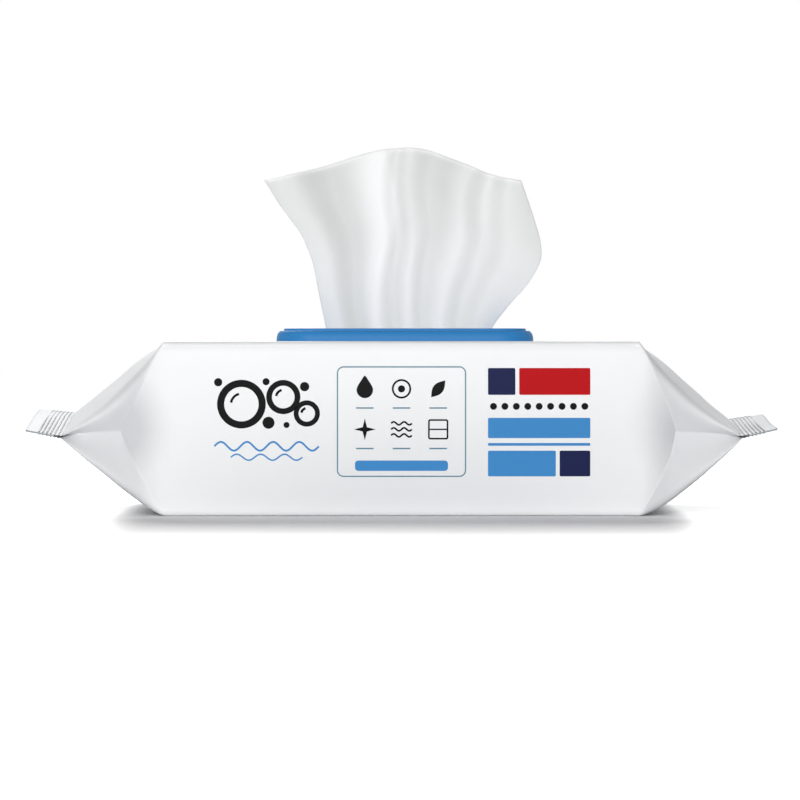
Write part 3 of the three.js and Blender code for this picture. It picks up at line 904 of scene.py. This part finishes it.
def leaf(x, z, length, lean):
    """A pointed leaf that leans to one side."""
    loop = []
    for side in (1, -1):
        for i in range(12):
            t = i / 12 if side == 1 else 1 - i / 12
            across = side * 0.24 * length * math.sin(math.pi * t)
            along = length * (t - 0.5)
            loop.append((
                x + along * math.sin(lean) + across * math.cos(lean),
                z + along * math.cos(lean) - across * math.sin(lean),
            ))
    return [loop]


def sparkle(x, z, radius):
    """A star with four thin points."""
    loop = []
    for i, a in enumerate(turn(8, math.pi / 2)):
        loop += arc(x, z, 0.28 * radius if i % 2 else radius, [a])
    return [loop]


def wave(x0, x1, z, height, count, width):
    """A wavy line with this many waves."""
    points = []
    steps = 24 * count
    for i in range(steps + 1):
        t = i / steps
        points.append((lerp(x0, x1, t), z + height / 2 * math.sin(2 * math.pi * count * t)))
    return stroke(points, width)


def printed_fields():
    """The colour fields of the print, by ink."""
    black, blue, red, navy, grey = [], [], [], [], []

    # Left: a group of bubbles over two waves
    for x, z, radius, width in ((-58.5, 41, 7.6, 2.6), (-43.2, 43.6, 5.2, 2.1), (-34.6, 37.6, 3.9, 1.8)):
        black += ring(x, z, radius, width)
        black += stroke(arc(x, z, 0.5 * radius, turn(10, 1.8, 1.2, True)), 0.9)
    for x, z, radius in (
        (-48.6, 34.2, 2.2), (-35.4, 47.4, 1.7), (-49.5, 49.2, 1.3), (-67, 49, 1.5), (-42, 33.4, 1.1),
    ):
        black += disc(x, z, radius)
    blue += wave(-68.4, -30.2, 25.6, 3.2, 4, 0.7)
    blue += wave(-62.4, -36.2, 21.6, 2.2, 3, 0.55)

    # Middle: a thin frame round six plain signs
    frame_line = bar(-23.4, 23.4, 14.6, 54.6, 2.2)[0]
    grey += stroke(frame_line, 0.45, closed=True)
    columns, rows = (-13.4, 0, 13.4), (46.2, 31.4)
    for z in rows:
        for x in columns:
            grey += stroke([(x - 3.2, z - 6.6), (x + 3.2, z - 6.6)], 0.5)
    upper, lower = rows
    black += drop(columns[0], upper, 3)
    black += ring(columns[1], upper + 0.4, 3.2, 0.7)
    black += disc(columns[1], upper + 0.4, 1.3)
    black += leaf(columns[2], upper + 0.4, 8, 0.7)
    black += sparkle(columns[0], lower + 0.4, 4)
    for lift in (-1.8, 0.4, 2.6):
        black += wave(columns[1] - 3.8, columns[1] + 3.8, lower + lift, 1.1, 2, 0.65)
    window = bar(columns[2] - 3.4, columns[2] + 3.4, lower - 3, lower + 3.8, 0.5)[0]
    black += stroke(window, 0.6, closed=True)
    black += stroke([(columns[2] - 3.2, lower + 0.4), (columns[2] + 3.2, lower + 0.4)], 0.5)
    blue += bar(-17, 17, 16.6, 20.4, 1.2)

    # Right: blocks of colour round a row of dots
    left, right = 31.6, 69
    navy += bar(left, 41.6, 44.4, 54.2, 0.5)
    red += bar(43, right, 44.4, 54.2, 0.5)
    for i in range(9):
        black += disc(left + 2 + i * (right - left - 4) / 8, 40.2, 1.25)
    blue += bar(left, right, 28.6, 36, 0.5)
    blue += bar(left, right, 25.8, 26.8, 0.3)
    blue += bar(left, 56.4, 14.6, 24, 0.5)
    navy += bar(57.8, right, 14.6, 24, 0.5)
    return {"black": black, "blue": blue, "red": red, "navy": navy, "grey": grey}


def printed_mesh(name, fields, panel):
    """Fields of ink laid on the front panel, cut small enough to follow it."""
    shape = bmesh.new()
    for loop in fields:
        shape.faces.new([shape.verts.new((x * MM, 0, z * MM)) for x, z in loop])
    bmesh.ops.remove_doubles(shape, verts=shape.verts, dist=1e-6)
    for normal, low, high in ((Vector((1, 0, 0)), -72, 72), (Vector((0, 0, 1)), 12, 60)):
        for at in range(low, high, PRINT_CELL):
            geom = shape.verts[:] + shape.edges[:] + shape.faces[:]
            bmesh.ops.bisect_plane(shape, geom=geom, plane_co=normal * at * MM, plane_no=normal, dist=1e-7)
    for vert in shape.verts:
        hit = panel.ray_cast(Vector((vert.co.x, -BODY_DEPTH * MM, vert.co.z)), Vector((0, 1, 0)))[0]
        if hit is None:
            raise RuntimeError(f"{name} isn't on the panel")
        vert.co.y = hit.y
    for face in shape.faces:
        if face.normal.y > 0:
            face.normal_flip()
    mesh = bpy.data.meshes.new(name)
    shape.to_mesh(mesh)
    shape.free()
    return mesh


class PackPrint(bpy.types.PropertyGroup):
    ink_height: FloatProperty(
        name="Ink height", description="How far the ink stands proud of the film", default=0.05 * MM,
        min=0.02 * MM, max=0.3 * MM, precision=5, unit="LENGTH",
    )
    black: FloatVectorProperty(
        name="Black", description="Colour of the dark signs", default=linear("020203"),
        min=0, max=1, subtype="COLOR",
    )
    blue: FloatVectorProperty(
        name="Blue", description="Colour of the blue bars", default=linear("3F86C2"),
        min=0, max=1, subtype="COLOR",
    )
    red: FloatVectorProperty(
        name="Red", description="Colour of the red bar", default=linear("B6060F"),
        min=0, max=1, subtype="COLOR",
    )
    navy: FloatVectorProperty(
        name="Navy", description="Colour of the dark blue bar", default=linear("181F48"),
        min=0, max=1, subtype="COLOR",
    )
    grey: FloatVectorProperty(
        name="Grey blue", description="Colour of the thin frame", default=linear("5B8295"),
        min=0, max=1, subtype="COLOR",
    )


class WIPES_OT_print(bpy.types.Operator):
    """Prints the front panel with plain fields of colour"""
    bl_idname = "wipes.print"
    bl_label = "Print"

    def execute(self, context):
        inks = context.scene.pack_print
        film = bpy.data.objects["film_envelope"]
        faces = [face.vertices[:] for face in film.data.polygons]
        panel = BVHTree.FromPolygons([vert.co for vert in film.data.vertices], faces)
        for ink, fields in printed_fields().items():
            name = f"print_{ink}"
            piece = new_piece(name, printed_mesh(name, fields, panel), gravure_ink(ink, getattr(inks, ink)))
            thicken(piece, 2 * inks.ink_height, 0)
            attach(piece, "pack")
        return {"FINISHED"}


# Folded wipes inside

def layer_tree(material):
    """Stacks a folded wipe on itself, each one laid down a little out of line."""
    tree, given = new_tree("folded_layers", {"Layers": "Int", "Pitch": "Float", "Stray": "Float"})
    step = add_node(tree, "ShaderNodeCombineXYZ", {"Z": given["Pitch"]})
    row = add_node(tree, "GeometryNodeMeshLine", {"Count": given["Layers"], "Offset": step}, mode="OFFSET")
    half = add_node(tree, "ShaderNodeMath", {0: given["Stray"], 1: 0.5}, operation="MULTIPLY")
    low = add_node(tree, "ShaderNodeMath", {0: given["Stray"], 1: -1}, operation="MULTIPLY")
    low_place = add_node(tree, "ShaderNodeCombineXYZ", {"X": low, "Y": low})
    high_place = add_node(tree, "ShaderNodeCombineXYZ", {"X": given["Stray"], "Y": half})
    limits = {"Min": low_place, "Max": high_place}
    stray = add_node(tree, "FunctionNodeRandomValue", {**limits, "Seed": 4}, data_type="FLOAT_VECTOR")
    laid = add_node(tree, "GeometryNodeSetPosition", {"Geometry": row, "Offset": stray.outputs["Value"]})
    copies = add_node(tree, "GeometryNodeInstanceOnPoints", {"Points": laid, "Instance": given["Geometry"]})
    return finish_tree(tree, copies, material)


class FoldedWipes(bpy.types.PropertyGroup):
    layers: IntProperty(
        name="Layers", description="Folded layers that the stack shows", default=25, min=5, max=60,
    )
    stray: FloatProperty(
        name="Stray", description="How far a layer lies out of line", default=0.3 * MM,
        min=0, max=1 * MM, precision=5, unit="LENGTH",
    )


def flat_uv(mesh):
    """A map in metres for the nonwoven's pattern: along X and Y, with Z added so that no side is smeared."""
    layer = mesh.uv_layers.new(name="cloth")
    for loop in mesh.loops:
        co = mesh.vertices[loop.vertex_index].co
        layer.data[loop.index].uv = (co.x + co.z, co.y + co.z)


class WIPES_OT_folded_wipes(bpy.types.Operator):
    """Makes the stack of folded wipes inside the film"""
    bl_idname = "wipes.folded_wipes"
    bl_label = "Folded wipes"

    def execute(self, context):
        folded = context.scene.folded_wipes
        low, high = (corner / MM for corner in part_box("wipe_stack"))
        stray = folded.stray / MM
        half_x, half_y = high.x - stray, high.y - stray
        pitch = (high.z - low.z) / folded.layers
        edge = pitch / 2
        rings = []
        for i in range(7):
            angle = math.pi * i / 6
            inset = edge * (1 - math.sin(angle))
            height = low.z + edge - edge * math.cos(angle)
            corner = STACK_CORNER_ROUND - inset
            rings.append(rounded_loop(half_x - inset, half_y - inset, corner, height, 5, (0, 0)))
        shape = bmesh.new()
        loft_into(shape, rings)
        mesh = mesh_from(shape, "folded_wipes", 60)
        flat_uv(mesh)
        piece = new_piece("folded_wipes", mesh)
        tree = layer_tree(material_named(spunlace_nonwoven))
        run_tree(piece, tree, {"Layers": folded.layers, "Pitch": pitch * MM, "Stray": folded.stray})
        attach(piece, "pack")
        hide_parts("wipe_stack")
        return {"FINISHED"}


# Drawn wipe: the side edges as (across, up), in shares of half its widest span and of its rise
LEFT_EDGE = [
    (-0.53, -0.12), (-0.555, 0.013), (-0.604, 0.195), (-0.64, 0.34),
    (-0.68, 0.43), (-0.741, 0.531), (-0.877, 0.673), (-1, 0.822),
]
RIGHT_EDGE = [
    (0.58, -0.12), (0.65, 0.013), (0.778, 0.14), (0.9, 0.245),
    (0.985, 0.355), (1, 0.45), (0.958, 0.586), (0.856, 0.82),
]
TOP_EDGE = [(0.822,), (0.86,), (0.908,), (0.962,), (0.998,), (0.993,), (0.93,), (0.86,), (0.82,)]

# Where the folds cross the sheet at the lid, halfway up and at the top: hollows and crests take turns
FOLDS = [
    (-1.3, -1.3, -1.3), (-0.8, -0.86, -0.82), (-0.6, -0.62, -0.51), (-0.34, -0.37, -0.08),
    (-0.11, -0.23, 0.05), (0.09, -0.1, 0.14), (0.27, 0.05, 0.36), (0.48, 0.3, 0.62),
    (0.68, 0.5, 0.77), (0.89, 0.71, 0.92), (1.2, 1.15, 1.2),
]

# How much shade is painted at each of these folds, at the lid and at the top, from 0 to 1: most in hollows
FOLD_SHADES = (
    (0.8, 0.8), (0.35, 0.75), (0.75, 1), (0, 0), (0.6, 0.75), (0, 0.68),
    (0.5, 0.95), (0, 0.6), (0.5, 0.6), (0.3, 0.6), (0.4, 0.6),
)


def fold_places(u, climb):
    """Where the folds cross the sheet at this height, and the number of the last one before u."""
    bow = 4 * climb * (1 - climb)
    places = [lerp(low, high, climb) + bow * (half - (low + high) / 2) for low, half, high in FOLDS]
    last = len(places) - 1
    i = next((k for k, at in enumerate(places) if at > u), last) - 1
    return places, min(max(i, 0), last - 1)


def between_folds(u, places, i, values):
    """Turns from the value at fold i to that at the next, evenly rounded at both."""
    t = (u - places[i]) / (places[i + 1] - places[i])
    return lerp(*values, (1 - math.cos(math.pi * min(max(t, 0), 1))) / 2)


def fold_tone(u, climb):
    """How much shade is painted on the sheet here, fading out at its hem."""
    places, i = fold_places(u, climb)
    tone = between_folds(u, places, i, [lerp(*pair, climb) for pair in FOLD_SHADES[i:i + 2]])
    return tone * smooth(share_of(1 - climb, HEM_SHARE))


def fold_depth(u, climb):
    """How far the folds push the sheet back at u, from -1 on a crest to 1 in a hollow."""
    places, i = fold_places(u, climb)
    last = len(places) - 1

    def depth(k):
        gaps = [places[k] - places[k - 1]] if k > 0 else []
        gaps += [places[k + 1] - places[k]] if k < last else []
        return (-1 if k % 2 else 1) * min([1] + [gap / FOLD_SPACING for gap in gaps])

    return between_folds(u, places, i, (depth(i), depth(i + 1)))


def wipe_point(u, v, ripple):
    """A point of the sheet: u runs from -1 at its left edge to 1 at its right, v from 0 at its foot to 1."""
    side = (u + 1) / 2
    left, right = catmull(LEFT_EDGE, v), catmull(RIGHT_EDGE, v)
    low = LEFT_EDGE[0][1]
    corner = lerp(LEFT_EDGE[-1][1], RIGHT_EDGE[-1][1], side)
    climb = (lerp(left[1], right[1], side) - low) / (corner - low)
    x = lerp(left[0], right[0], side) * WIPE_SPAN / 2 + WIPE_SHIFT + LID_SHIFT
    y = lerp(PLEAT_DEPTH_LOW, PLEAT_DEPTH_HIGH, climb) * fold_depth(u, climb) + WIPE_LEAN * climb * climb
    z = lerp(low, catmull(TOP_EDGE, side)[0], climb) * WIPE_RISE
    if z < 0:
        z *= (WIPE_FOOT - LIP_TOP) / (low * WIPE_RISE)
    free = smooth(share_of(z, 25))

    # Ripples: broad ones, about 14 by 22 mm, and fine ones, about 4 by 7 mm
    y += ripple * free * noise.noise(Vector((x / 14, z / 22, 5)))
    y += 0.3 * ripple * free * noise.noise(Vector((x / 4, z / 7, 9)))
    return Vector((x, y, z + LIP_TOP))


class DrawnWipe(bpy.types.PropertyGroup):
    thickness: FloatProperty(
        name="Wipe thickness", description="Thickness of the moist nonwoven", default=0.5 * MM,
        min=0.2 * MM, max=1.5 * MM, precision=5, unit="LENGTH",
    )
    ripple: FloatProperty(
        name="Ripple", description="Depth of the fine ripples between the folds", default=0.45 * MM,
        min=0, max=3 * MM, precision=5, unit="LENGTH",
    )
    colour: FloatVectorProperty(
        name="Wipe colour", description="Colour of the dry fibres", default=linear("FFFFFF"),
        min=0, max=1, subtype="COLOR",
    )
    # Colour of the random damp clouds and of the shade painted in the folds
    damp_colour: FloatVectorProperty(
        name="Damp colour", description="Colour in the wetter folds", default=linear("D4D6D4"),
        min=0, max=1, subtype="COLOR",
    )


class WIPES_OT_drawn_wipe(bpy.types.Operator):
    """Makes the wipe that is drawn up through the opening"""
    bl_idname = "wipes.drawn_wipe"
    bl_label = "Drawn wipe"

    def execute(self, context):
        wipe = context.scene.drawn_wipe
        columns, rows = WIPE_COLUMNS, WIPE_ROWS
        ripple = wipe.ripple / MM
        points, uvs, fold_shade_values = [], [], []
        for row in range(rows + 1):
            developed, before = 0, None
            for column in range(columns + 1):
                u = lerp(-1, 1, column / columns)
                p = wipe_point(u, row / rows, ripple)
                if before:
                    developed += (p - before).length
                before = p
                points.append(p * MM)
                # Painted shade: darker in the hollows of the folds, lighter on the crests
                fold_shade_values.append(fold_tone(u, row / rows))
                uvs.append((developed * MM, (p.z - WIPE_FOOT) * MM))
        faces = []
        for row in range(rows):
            for column in range(columns):
                a = row * (columns + 1) + column
                faces.append((a, a + 1, a + columns + 2, a + columns + 1))
        mesh = bpy.data.meshes.new("drawn_wipe")
        mesh.from_pydata(points, [], faces)
        layer = mesh.uv_layers.new(name="cloth")
        for loop in mesh.loops:
            layer.data[loop.index].uv = uvs[loop.vertex_index]
        mesh.attributes.new("painted_shade", "FLOAT", "POINT").data.foreach_set("value", fold_shade_values)
        mesh.shade_smooth()
        piece = new_piece("drawn_wipe", mesh, material_named(spunlace_nonwoven))
        thicken(piece, wipe.thickness, 0)
        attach(piece, "pack")
        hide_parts("pulled_wipe")
        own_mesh(piece)
        return {"FINISHED"}


# Lid

def lid_loop(inset, height):
    """The lid's outline, this far in from its foot and this far above the film."""
    half_x, half_y = LID_LENGTH / 2 - inset, LID_DEPTH / 2 - inset
    return rounded_loop(half_x, half_y, LID_CORNER - inset, BODY_HEIGHT + height)


def opening_loop(outset, height):
    """The outline of the opening, this far out from it and this far above the film."""
    half = OPENING_WIDTH / 2 + outset
    return rounded_loop(OPENING_LENGTH / 2 + outset, half, half, BODY_HEIGHT + height)


def rounded_profile(corners, steps=5):
    """An open line through (across, up, radius) corners with each corner rounded."""
    flat = [(a, b) for a, b, _ in corners]
    line = [Vector(flat[0])]
    for before, corner, after, (_, _, radius) in zip(flat, flat[1:], flat[2:], corners[1:]):
        line += bezier_corner(before, corner, after, radius, steps) if radius else [Vector(corner)]
    return line + [Vector(flat[-1])]


def lid_piece(name, shape):
    """A piece of the lid's own plastic."""
    return new_piece(name, mesh_from(shape, name, 35), material_named(moulded_polypropylene))


class FlipLid(bpy.types.PropertyGroup):
    web_thickness: FloatProperty(
        name="Hinge thickness", description="Thickness of the moulded hinge webs", default=0.4 * MM,
        min=0.2 * MM, max=1 * MM, precision=5, unit="LENGTH",
    )
    colour: FloatVectorProperty(
        name="Lid colour", description="Colour of the lid", default=linear("3284C2"),
        min=0, max=1, subtype="COLOR",
    )
    shade: FloatVectorProperty(
        name="Lid shade", description="Colour where the plastic flowed last", default=linear("2F7FC1"),
        min=0, max=1, subtype="COLOR",
    )


class WIPES_OT_lid_base(bpy.types.Operator):
    """Makes the lid's base with its rim, lip and the bead round the opening"""
    bl_idname = "wipes.lid_base"
    bl_label = "Lid base"

    def execute(self, context):
        lip_outer = RIM_DRAFT + COVER_WALL + COVER_CLEARANCE
        lip_inner = lip_outer + LIP_THICKNESS
        lip_top = RIM_HEIGHT + LIP_HEIGHT
        outside = rounded_profile([
            (0, 0, 0), (0.05, 1.5, 0.6), (0.5, 3.1, 0.9), (RIM_DRAFT, RIM_HEIGHT, 0.35),
            (lip_outer, RIM_HEIGHT, 0.15), (lip_outer, lip_top, 0.5), (lip_inner, lip_top, 0.5),
            (lip_inner, FLOOR_THICKNESS, 0.6), (lip_inner + 2, FLOOR_THICKNESS, 0),
        ])
        bead = rounded_profile([
            (BEAD_THICKNESS + 1, FLOOR_THICKNESS, 0), (BEAD_THICKNESS, FLOOR_THICKNESS, 0.5),
            (0.9 * BEAD_THICKNESS, BEAD_HEIGHT, 0.5), (0.1 * BEAD_THICKNESS, BEAD_HEIGHT, 0.6), (0, 0, 0),
        ])
        rings = [lid_loop(p.x, p.y) for p in outside] + [opening_loop(p.x, p.y) for p in bead]
        shape = bmesh.new()
        loft_into(shape, rings, closed=True)
        piece = lid_piece("lid_frame", shape)
        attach(piece, "pack")
        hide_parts("lid_base")
        return {"FINISHED"}


def swing_back(shape):
    """Turns the shut cover half a turn about the hinge line, to where it lies when it is open."""
    for vert in shape.verts:
        vert.co.y = 2 * HINGE_Y * MM - vert.co.y
        vert.co.z = 2 * (BODY_HEIGHT + HINGE_Z) * MM - vert.co.z


class WIPES_OT_lid_cover(bpy.types.Operator):
    """Makes the flip cover with its sealing rib and finger tab, swung right back"""
    bl_idname = "wipes.lid_cover"
    bl_label = "Lid cover"

    def execute(self, context):
        bottom = RIM_HEIGHT + COVER_CLEARANCE
        top = bottom + COVER_RISE
        inside = RIM_DRAFT + COVER_WALL
        ceiling = top - COVER_WALL
        line = rounded_profile([
            (inside + 6, ceiling, 0), (inside, ceiling, 1), (inside, bottom, 0.12), (RIM_DRAFT, bottom, 0.25),
            (RIM_DRAFT, top, COVER_EDGE_ROUND), (RIM_DRAFT + 6, top, 0),
        ], 8)
        shape = bmesh.new()
        loft_into(shape, [lid_loop(p.x, p.y) for p in line])
        inner = BEAD_THICKNESS + RIB_CLEARANCE
        foot = BEAD_HEIGHT - RIB_OVERLAP
        rib = rounded_profile([
            (inner + RIB_THICKNESS, ceiling + 0.4, 0), (inner + RIB_THICKNESS, foot, 0.35),
            (inner, foot, 0.35), (inner, ceiling + 0.4, 0),
        ], 4)
        loft_into(shape, [opening_loop(p.x, p.y) for p in rib], closed=True)
        self.add_tab(shape, bottom)
        swing_back(shape)
        piece = lid_piece("lid_flap", shape)
        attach(piece, "cover")
        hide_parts("lid_cover")
        return {"FINISHED"}

    def add_tab(self, shape, bottom):
        """The finger tab in the middle of the cover's front edge."""
        front = -(LID_DEPTH / 2 - RIM_DRAFT)
        half = TAB_WIDTH / 2
        rings = []
        for inset, height in (
            (TAB_BEVEL, 0), (0, TAB_BEVEL), (0, TAB_THICKNESS - TAB_BEVEL), (TAB_BEVEL, TAB_THICKNESS),
        ):
            outline = []
            for side in (1, -1):
                corner_x = side * (half - TAB_ROUND)
                corner_y = front - TAB_REACH + TAB_ROUND
                start = 0 if side == 1 else -math.pi / 2
                outline += arc(corner_x, corner_y, TAB_ROUND - inset, turn(8, start, -math.pi / 2, True))
            back = front + COVER_WALL / 2
            outline = [(half - inset, back)] + outline + [(-half + inset, back)]
            rings.append([(x + LID_SHIFT, y, BODY_HEIGHT + bottom + height) for x, y in outline])
        loft_into(shape, rings)


class WIPES_OT_hinge_webs(bpy.types.Operator):
    """Makes the thin hinge webs that join the cover to the base"""
    bl_idname = "wipes.hinge_webs"
    bl_label = "Hinge webs"

    def execute(self, context):
        thickness = context.scene.flip_lid.web_thickness / MM
        reach = HINGE_REACH + WEB_SINK
        shape = bmesh.new()
        for side in (-1, 1):
            middle = LID_SHIFT + side * WEB_SPACING / 2
            rings = []
            for i in range(25):
                along = lerp(-reach, reach, i / 24)
                thin = lerp(WEB_THIN_SHARE, 1, smooth(share_of(abs(along), WEB_THIN_REACH))) * thickness / 2
                edge = 0.35 * thin
                half = WEB_WIDTH / 2
                section = (
                    (-half, edge - thin), (edge - half, -thin), (half - edge, -thin), (half, edge - thin),
                    (half, thin - edge), (half - edge, thin), (edge - half, thin), (-half, thin - edge),
                )
                rings.append([(middle + x, HINGE_Y + along, BODY_HEIGHT + HINGE_Z + z) for x, z in section])
            loft_into(shape, rings)
        piece = lid_piece("hinge_webs", shape)
        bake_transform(piece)
        return {"FINISHED"}


# Stage

class Studio(bpy.types.PropertyGroup):
    sky: FloatProperty(
        name="Sky", description="Strength of the even light from all round", default=0.24, min=0, max=2,
    )
    key: FloatProperty(
        name="Key lamp", description="Power of the soft lamp in front, beside the camera", default=17,
        min=0, max=200, unit="POWER",
    )
    back: FloatProperty(
        name="Back lamp", description="Power of the soft lamp high behind the pack", default=7.4,
        min=0, max=200, unit="POWER",
    )
    floor: FloatVectorProperty(
        name="Floor colour", description="Colour of the floor", default=linear("F2F2F3"),
        min=0, max=1, subtype="COLOR",
    )
    glow: FloatProperty(
        name="Floor glow", description="White that the camera sees on the floor just past the pack's shadow",
        default=0.72, min=0, max=1,
    )
    far_glow: FloatProperty(
        name="Far floor glow", description="White that the camera sees on the floor far from the pack",
        default=0.8, min=0, max=1,
    )


def area_lamp(name, place, aim, size, power):
    """A round soft lamp of this size that points at aim."""
    data = bpy.data.lights.new(name, "AREA")
    data.shape = "DISK"
    data.size = size
    data.energy = power
    lamp = bpy.data.objects.new(name, data)
    lamp.location = place
    lamp.rotation_euler = (Vector(aim) - Vector(place)).to_track_quat("-Z", "Y").to_euler()
    bpy.context.scene.collection.objects.link(lamp)


def white_world(strength):
    """Even light from all round, and plain white for what the camera, a gloss or a clear body sees."""
    world = bpy.data.worlds.new("studio_white")
    world.use_nodes = True
    tree = world.node_tree
    tree.nodes.clear()
    path = add_node(tree, "ShaderNodeLightPath").outputs
    seen = path["Is Camera Ray"]
    for ray in ("Is Glossy Ray", "Is Transmission Ray"):
        seen = add_node(tree, "ShaderNodeMath", {0: seen, 1: path[ray]}, operation="MAXIMUM")
    light = add_node(tree, "ShaderNodeBackground", {"Color": (1, 1, 1, 1), "Strength": strength})
    white = add_node(tree, "ShaderNodeBackground", {"Color": (1, 1, 1, 1), "Strength": 1})
    mix = add_node(tree, "ShaderNodeMixShader", {0: seen, 1: light, 2: white})
    add_node(tree, "ShaderNodeOutputWorld", {"Surface": mix})
    bpy.context.scene.world = world


def studio_board(colour, glow, far_glow):
    """Matt white studio board: it keeps the pack's shadow, and past that a glow that only the camera sees
    paints it white.
    """
    material, tree, place = new_material("studio_board")
    grain = grained(tree, place, 3, 2, 0.02, 0.02)
    board = add_node(tree, "ShaderNodeBsdfDiffuse", {"Color": (*colour, 1), "Normal": grain})

    # How far the floor is from the pack's foot, in shares of how far the shadow reaches
    foot = (BODY_LENGTH / 2 * MM, BODY_DEPTH / 2 * MM, 1)
    back = {1: (0, 1 / BACK_REACH, 0), 2: (0, -foot[1] / BACK_REACH, 0)}
    mirrored = add_node(tree, "ShaderNodeVectorMath", {0: place}, operation="ABSOLUTE")
    beyond = add_node(tree, "ShaderNodeVectorMath", {0: mirrored, 1: foot}, operation="SUBTRACT")
    weighed = add_node(tree, "ShaderNodeVectorMath", {0: beyond, 1: (*SHADOW_REACH, 1)}, operation="DIVIDE")
    behind = add_node(tree, "ShaderNodeVectorMath", {0: place, **back}, operation="MULTIPLY_ADD")
    further = add_node(tree, "ShaderNodeVectorMath", {0: weighed, 1: behind}, operation="MAXIMUM")
    clear = add_node(tree, "ShaderNodeVectorMath", {0: further, 1: (0, 0, 0)}, operation="MAXIMUM")
    away = add_node(tree, "ShaderNodeVectorMath", {0: clear}, operation="LENGTH").outputs["Value"]
    # Painted light: the glow that the camera sees rises with this distance, so the shadow fades out within
    # its reach
    near = add_node(tree, "ShaderNodeMath", {0: away, 1: 3}, operation="POWER", use_clamp=True)

    # Far out the floor glows a little more, so that no horizon shows
    ring = add_node(tree, "ShaderNodeVectorMath", {0: place}, operation="LENGTH").outputs["Value"]
    span = {"From Min": 0.25, "From Max": 0.9, "To Min": 0, "To Max": far_glow - glow}
    far = add_node(tree, "ShaderNodeMapRange", {"Value": ring, **span})
    reach = add_node(tree, "ShaderNodeMath", {0: near, 1: glow, 2: far}, operation="MULTIPLY_ADD")
    seen = add_node(tree, "ShaderNodeLightPath").outputs["Is Camera Ray"]
    strength = add_node(tree, "ShaderNodeMath", {0: reach, 1: seen}, operation="MULTIPLY")
    lit = add_node(tree, "ShaderNodeEmission", {"Strength": strength})
    finish_material(tree, add_node(tree, "ShaderNodeAddShader", {0: board, 1: lit}))
    return material


class WIPES_OT_stage(bpy.types.Operator):
    """Makes the floor, the lamps, the white surround and the camera"""
    bl_idname = "wipes.stage"
    bl_label = "Stage"

    def execute(self, context):
        studio = context.scene.studio
        shape = bmesh.new()
        bmesh.ops.create_circle(shape, cap_ends=True, segments=96, radius=FLOOR_RADIUS)
        for vert in shape.verts:
            vert.co.z = -FLOOR_DROP
        mesh = mesh_from(shape, "studio_floor")
        floor = new_piece("studio_floor", mesh, studio_board(studio.floor, studio.glow, studio.far_glow))
        white_world(studio.sky)
        area_lamp("key_lamp", *KEY_LAMP, studio.key)
        area_lamp("back_lamp", *BACK_LAMP, studio.back)
        self.add_camera(context)
        context.scene.view_settings.view_transform = "Standard"
        return {"FINISHED"}

    def add_camera(self, context):
        data = bpy.data.cameras.new("camera")
        data.lens = CAMERA_LENS
        data.sensor_width = CAMERA_SENSOR
        camera = bpy.data.objects.new("camera", data)
        place, aim = Vector(CAMERA_PLACE) * MM, Vector(CAMERA_AIM) * MM
        camera.location = place
        camera.rotation_euler = (aim - place).to_track_quat("-Z", "Y").to_euler()
        context.scene.collection.objects.link(camera)
        context.scene.camera = camera


OPERATORS = (
    WIPES_OT_stage, WIPES_OT_film_pack, WIPES_OT_seal_crimps, WIPES_OT_print, WIPES_OT_folded_wipes,
    WIPES_OT_drawn_wipe, WIPES_OT_lid_base, WIPES_OT_lid_cover, WIPES_OT_hinge_webs,
)
SETTINGS = {
    "pack_film": PackFilm, "pack_print": PackPrint, "folded_wipes": FoldedWipes,
    "drawn_wipe": DrawnWipe, "flip_lid": FlipLid, "studio": Studio,
}


class WIPES_PT_panel(bpy.types.Panel):
    """Lists the pieces of the wipes pack and their settings"""
    bl_idname = "WIPES_PT_panel"
    bl_label = "Wipes pack"
    bl_space_type = "VIEW_3D"
    bl_region_type = "UI"
    bl_category = "Wipes pack"

    def draw(self, context):
        layout = self.layout
        for operator in OPERATORS:
            layout.operator(operator.bl_idname)
        for name, group in SETTINGS.items():
            box = layout.box()
            for prop in group.__annotations__:
                box.prop(getattr(context.scene, name), prop)


CLASSES = (*SETTINGS.values(), *OPERATORS, WIPES_PT_panel)


def register():
    for cls in CLASSES:
        bpy.utils.register_class(cls)
    for name, group in SETTINGS.items():
        setattr(bpy.types.Scene, name, PointerProperty(type=group))


def unregister():
    for name in SETTINGS:
        delattr(bpy.types.Scene, name)
    for cls in reversed(CLASSES):
        bpy.utils.unregister_class(cls)


def main():
    register()
    for operator in OPERATORS:
        group, name = operator.bl_idname.split(".")
        getattr(getattr(bpy.ops, group), name)()


if __name__ == "__main__":
    main()
